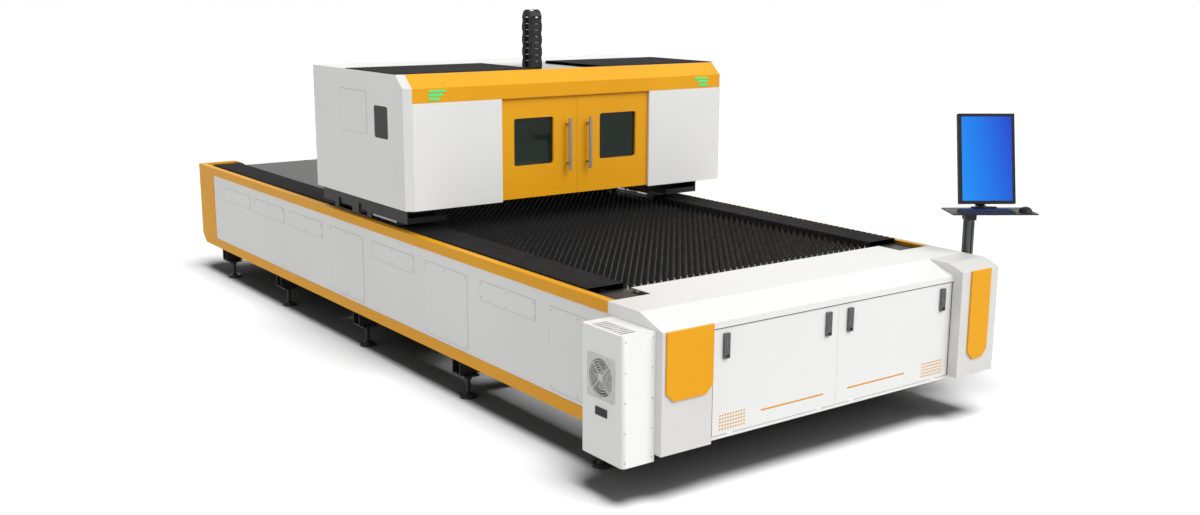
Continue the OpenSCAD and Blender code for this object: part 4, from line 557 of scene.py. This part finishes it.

# Cabinet gap shade: a black strip on the carcass's front edge, over the doors and beside them, is painted
# shade.
# It stands for the shadow in the gap round the doors, 4 mm wide and 1 mm thick; the foot stays open, where
# the doors turn on their pins.
# Gap shade black: matt, and draws the painted shadow line round the doors.
black_rubber, tree, shader = new_finish("EPDM rubber strip, black", "#1C1C1D", 0.75)
tone_spread(tree, shader, "#212122", "#171718", 20)
carcass_low, carcass_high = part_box("front_cabinet")
strip_w, strip_t, strip_gap, strip_stand = 0.004, 0.001, 0.0003, 0.0006
half = (carcass_high.x - carcass_low.x) / 2 - strip_gap
seal_top = carcass_high.z - strip_gap
seal_foot = 0.306
seal = begin("grid", x_subdivisions=3, y_subdivisions=2, size=2)
turn(math.pi / 2, "X")
pick("faces", lambda c, n: abs(c.x) < 0.3 and c.z < 0)
bpy.ops.mesh.delete(type="FACE")
for side in (-1, 1):
    pick("verts", lambda c, n: 0 < c.x * side < 0.5)
    bpy.ops.transform.translate(value=(side * (half - strip_w - 1 / 3), 0, 0))
    pick("verts", lambda c, n: c.x * side > 0.99)
    bpy.ops.transform.translate(value=(side * (half - 1), 0, 0))
for row, goal in ((1, seal_top), (0, seal_top - strip_w), (-1, seal_foot)):
    pick("verts", lambda c, n: abs(c.z - row) < 0.1)
    bpy.ops.transform.translate(value=(0, 0, away + goal - row))
bpy.ops.mesh.select_all(action="SELECT")
carcass_middle = (carcass_low.x + carcass_high.x) / 2
bpy.ops.transform.translate(value=(carcass_middle, carcass_low.y - strip_stand, -away))
modify(seal, "SOLIDIFY", thickness=strip_t, offset=0.0)
fit(seal, "cabinet_seal", [black_rubber], "base")

# Latches: flush trays with a swinging lever on a pin, four in all, two on each cabinet door.
# Cast in zinc alloy and painted dark grey.
# Painted casting: mid-dark grey, slightly metallic, with uneven tone.
cast_zinc, tree, shader = new_finish("die-cast zinc, dark grey", "#66676A", 0.42, 0.4)
tone_spread(tree, shader, "#6F7072", "#5A5B5D", 20)
for part in ("bases_left", "bases_right", "lever_1", "lever_2", "lever_3", "lever_4"):
    dress("latch_" + part, cast_zinc, 1.0)

# Cooler: a bent sheet case hung on the cabinet's left wall, with a guard of rings and spokes over its fan.
# Guard and fan are pale moulded plastic, and the temperature display is a dark window.
# Cooler coat: the whitest sheet of all, semi-matt.
cooler_coat = powder_coat("powder-coated steel, cooler white", "#F8F8F7", "#F4F4F3", 0.42)
# Pale ABS: a soft light grey that stands out against the dark of the fan opening.
moulded_grey, tree, shader = new_finish("moulded ABS, pale grey", "#D9D9D7", 0.48)
tone_spread(tree, shader, "#DEDEDC", "#D0D0CE", 30)
# Dark acrylic: smooth and almost black, with a clear reflection.
dark_window, tree, shader = new_finish("acrylic display window, dark", "#15181B", 0.12)
tone_spread(tree, shader, "#1A1E22", "#101214", 40)
dress("cooler_case", cooler_coat, 1.5)
dress("cooler_fan", moulded_grey)
dress("cooler_display", dark_window)

guard_low, guard_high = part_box("cooler_grille")
facing_side = (0, math.pi / 2, 0)
guard_t, outer_ring, ring_pitch, spoke_l = 0.006, 0.090, 0.014, 0.206
guard = begin("cube", size=1)
bpy.ops.transform.resize(value=(guard_t, guard_high.y - guard_low.y, guard_high.z - guard_low.z))
pick("edges", lambda a, b: abs(a.x - b.x) > 0.001)
bpy.ops.mesh.bevel(offset=0.008, segments=3)
cutter = begin("cylinder", vertices=40, radius=0.1, depth=0.05, rotation=facing_side)
modify(guard, "BOOLEAN", operation="DIFFERENCE", object=cutter)
bpy.data.objects.remove(cutter)
wires = []
for i in range(5):
    wires.append(begin("torus", major_radius=outer_ring - ring_pitch * i, minor_radius=0.0024,
                       major_segments=32, minor_segments=4, rotation=facing_side))
for eighth in (1, 3):
    wires.append(begin("cube", size=1))
    bpy.ops.transform.resize(value=(0.003, 0.005, spoke_l))
    turn(eighth * math.pi / 4, "X")
wires.append(begin("cylinder", vertices=20, radius=0.022, depth=0.005, rotation=facing_side))
pick("faces", lambda c, n: n.z < -0.9)
bpy.ops.mesh.inset(thickness=0.005)
bpy.ops.transform.translate(value=(-0.001, 0, 0))
join([guard] + wires)
shift(guard, (guard_low + guard_high) / 2)
fit(guard, "fan_guard", [moulded_grey], "base")
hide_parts("cooler_grille")
case_front, screw_columns, screw_rows = 56, (-1468, -1299), (262, 420, 579, 737, 896)
piece = screw("X", -math.pi / 2, radius_mm=4.0)
copies(piece, [place(x, case_front, z) for x in screw_columns for z in screw_rows])
fit(piece, "cooler_screws", [zinc_plate], "base")

# Operator console: a grooved aluminium post with a black steel tray, a keyboard and a mouse.
# The monitor stands upright on a tilting foot; its picture is a plain blue field.
# Natural anodised extrusion: grey metal with faint lines along its length.
anodised, tree, shader = new_finish("anodised aluminium, extruded", "#6B6D6F", 0.4, 0.8)
tone_spread(tree, shader, "#747678", "#606264", 10, stretch=(6, 6, 0.1))
# Blue-black ABS: dark keys with a bluish tint.
blue_abs, tree, shader = new_finish("moulded ABS, blue-black", "#1B2345", 0.4)
tone_spread(tree, shader, "#202A52", "#161C38", 12)
# Black ABS: dark and dull, with a very fine moulded grain.
black_abs, tree, shader = new_finish("moulded ABS, black", "#1D1D1F", 0.42)
spread, cloud = tone_spread(tree, shader, "#222224", "#18181A", 60)
shader.inputs["Specular IOR Level"].default_value = 0.2
grained(tree, shader, spread, grain_mm=1.5, detail=2.0, depth_mm=0.1, strength=0.25)
dress("console_post", anodised, 0.8)
dress("keyboard_tray", black_coat, 1.0)
dress("keyboard", blue_abs)
dress("mouse", black_abs)
dress("monitor_bracket", black_coat, 1.0)
dress("monitor_case", black_abs, 2.0)

# Lit panel: a glowing blue that deepens from left to right, with almost no reflection.
screen_low, screen_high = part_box("monitor_screen")
lit_screen, tree, shader = new_finish("lit display panel, blue", "#05070A", 0.15)
where = add_node(tree, "TexCoord")
axes = add_node(tree, "SeparateXYZ", {}, {"Vector": where.outputs["Object"]})
width = {"Value": axes.outputs["X"], "From Min": screen_low.x, "From Max": screen_high.x}
across = add_node(tree, "MapRange", {}, width)
fade = add_node(tree, "ValToRGB", {}, {"Fac": across.outputs[0]})
fade.color_ramp.elements[0].color = srgb("#1F96FF")
fade.color_ramp.elements[1].color = srgb("#2444CC")
fade.color_ramp.elements.new(0.55).color = srgb("#1F74EC")
tree.links.new(fade.outputs["Color"], shader.inputs["Emission Color"])
shader.inputs["Emission Strength"].default_value = 0.95
shader.inputs["Specular IOR Level"].default_value = 0.12
dress("monitor_screen", lit_screen)

# Monitor rim: a moulded frame of black ABS, 1.2 mm thick, clipped on the housing over the panel's edge.
# Its opening has rounded corners. Its place and tilt are read from the panel's front face.
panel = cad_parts["monitor_screen"]
panel_turn = panel.matrix_world.to_3x3()
front = max(panel.data.polygons, key=lambda face: -(panel_turn @ face.normal).y * face.area)
facing = (panel_turn @ front.normal).normalized()
on_front = panel.matrix_world @ front.center
corners = [panel.matrix_world @ vert.co for vert in panel.data.vertices]
corners = [corner for corner in corners if abs((corner - on_front).dot(facing)) < 0.0002]
middle = sum(corners, Vector()) / len(corners)
sideways = facing.cross(Vector((0, 0, -1))).normalized()
upward = sideways.cross(-facing)
rim_w, rim_h, border, rim_t, before_panel = 0.357, 0.569, 0.019, 0.0012, 0.0023
rim = begin("plane", size=1)
turn(math.pi / 2, "X")
bpy.ops.transform.resize(value=(rim_w, 1, rim_h))
bpy.ops.mesh.inset(thickness=border)
bpy.ops.mesh.bevel(offset=0.007, segments=3, affect="VERTICES")
pick("faces", lambda c, n: abs(c.x) < 0.01 and abs(c.z) < 0.01)
bpy.ops.mesh.delete(type="FACE")
modify(rim, "SOLIDIFY", thickness=rim_t, offset=0.0)
rim.data.transform(Matrix((sideways, -facing, upward)).transposed().to_4x4())
shift(rim, middle + facing * before_panel)
fit(rim, "monitor_rim", [black_abs], "monitor")

# Gantry: a welded box beam on end carriages, driven by two geared motors, with two cross rails.
# Steel painted dark, the motors black.
dress("gantry_beam", dark_coat)
dress("end_carriages", black_coat)
dress("drive_motors", black_coat)
dress("cross_rails", ground_steel)

# Cabin: white-coated shells and front panels round the gantry, an orange canopy over two sliding doors.
# Bent sheet; the doors hang in a track under the canopy and have square windows of green laser glass.
# Two groups of slanted green lamp strips are let into the canopy's ends.
dress("cabin_sides", white_coat, 1.0)
dress("cabin_back", white_coat, 2.0)
dress("cabin_front_panels", white_coat, 2.0)
dress("canopy", orange_coat, 3.0)
dress("cabin_door_left", orange_coat, 1.0)
dress("cabin_door_right", orange_coat, 1.0)
# Filter glass: lets a little green light through and mirrors the studio faintly.
laser_glass, tree, shader = new_finish("laser safety glass, dark green", "#243D2F", 0.06)
tone_spread(tree, shader, "#2A4736", "#1D3327", 250)
shader.inputs["Specular IOR Level"].default_value = 0.15
shader.inputs["Transmission Weight"].default_value = 0.75
shader.inputs["IOR"].default_value = 1.5
for node in ("side_windows", "door_window_left", "door_window_right"):
    dress(node, laser_glass)
# Brushed stainless: a soft metal sheen with fine lines along the handle.
brushed, tree, shader = new_finish("brushed stainless steel", "#A6A7A8", 0.32, 1.0)
tone_spread(tree, shader, "#B2B3B4", "#94969A", 3, stretch=(1, 1, 0.05))
dress("door_handle_left", brushed)
dress("door_handle_right", brushed)
# Lit lens: a clear green that glows a little.
lamp_lens, tree, shader = new_finish("lit lamp lens, green", "#2BDF86", 0.3)
tone_spread(tree, shader, "#33E58E", "#25D57C", 15)
shader.inputs["Emission Color"].default_value = srgb("#25D57C")
shader.inputs["Emission Strength"].default_value = 0.35
stripe_h, stripe_t, slant = 0.014, 0.004, 0.014
outer_end, stripe_y, top_stripe, stripe_pitch = 1182.5, 2554, 1939.5, 25
lamps = []
for side, side_name in both_sides:
    stripes = []
    for i, length in enumerate((0.130, 0.108, 0.086)):
        piece = begin("cube", size=1)
        bpy.ops.transform.resize(value=(length, stripe_t, stripe_h))
        pick("verts", lambda c, n: c.x * side < 0 and c.z < 0)
        bpy.ops.transform.translate(value=(side * slant, 0, 0))
        pick("edges", lambda a, b: a.y < 0 and b.y < 0)
        bpy.ops.mesh.bevel(offset=0.001, segments=2)
        shift(piece, place(side * (outer_end - 500 * length), stripe_y, top_stripe - stripe_pitch * i))
        stripes.append(piece)
    lamps.append(join(stripes))
    fit(lamps[-1], side_name + "_status_lamp", [lamp_lens], "gantry")
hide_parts("status_lamps")

# Corner plates: a small triangle closes each upper front corner of the cabin, welded under the slope.
# Cut from the same white-coated sheet, 3 mm thick.
plate_x, plate_y, plate_z = 1302.6, 2556.1, 1923.3
plate_run, plate_rise, plate_step = 40.1, 35.4, 0.0021
for side, side_name in both_sides:
    piece = begin("circle", vertices=3, radius=1, fill_type="NGON")
    goals = [
        place(side * plate_x, plate_y, plate_z),
        place(side * (plate_x + plate_run), plate_y + plate_run, plate_z + plate_rise),
        place(side * plate_x, plate_y, plate_z + plate_rise),
    ]
    starts = [vert.co.copy() for vert in bmesh.from_edit_mesh(piece.data).verts]
    for start, goal in zip(starts, goals):
        pick("verts", lambda c, n: (c - start).length < 0.01)
        bpy.ops.transform.translate(value=goal - start)
    bpy.ops.mesh.select_all(action="SELECT")
    bpy.ops.mesh.extrude_region_move(TRANSFORM_OT_translate={"value": (-side * plate_step, plate_step, 0)})
    bpy.ops.mesh.select_all(action="SELECT")
    bpy.ops.mesh.normals_make_consistent(inside=False)
    fit(piece, side_name + "_corner_plate", [white_coat], "gantry")

# Roof covers: two pleated covers close the roof beside the carriage's plate, of the same coated sheet.
# Each is fixed at the cabin's side and pushed by the carriage.
roof_low, roof_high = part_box("roof_bellows")
roof_middle = (roof_low.y + roof_high.y) / 2
roof_w = roof_high.y - roof_low.y - 0.002
for x0, x1, side_name in ((-1343, -256, "left"), (316, 1343, "right")):
    piece = folding_cover(roof_w, (x1 - x0) / 1000, height=0.028, pleats=36, depth=0.016, gap=0.014)
    piece.data.transform(Matrix.Rotation(-math.pi / 2, 4, "Z"))
    shift(piece, (place(x0, 0, 0).x, roof_middle, roof_high.z))
    fit(piece, side_name + "_roof_cover", [folding_sheet], None)
    if side_name == "left":
        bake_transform(piece)
    else:
        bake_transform(piece)
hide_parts("roof_bellows")

# Carriage and head: a plate on the cross rails with a column through the roof, a lift plate and the head.
# The cable chain is black moulded nylon and loops over the roof plate.
# Black nylon: dull and a little uneven from link to link.
nylon, tree, shader = new_finish("moulded nylon, black", "#2A2A2C", 0.5)
tone_spread(tree, shader, "#303032", "#222224", 25)
shader.inputs["Specular IOR Level"].default_value = 0.25
# Dark anodised head: smooth dark metal with a satin shine.
head_metal, tree, shader = new_finish("anodised aluminium, dark", "#3A3C3F", 0.35, 0.8)
tone_spread(tree, shader, "#434548", "#313336", 30)
# Light grey coat: the roof plate lies between the black covers and the white roof in tone.
grey_coat = powder_coat("powder-coated steel, light grey", "#B9B9B7", "#AFAFAD", 0.45)
dress("x_carriage", grey_coat, 1.0)
dress("cable_chain", nylon)
dress("lift_plate", deck_steel, 1.0)
dress("cutting_head", head_metal)
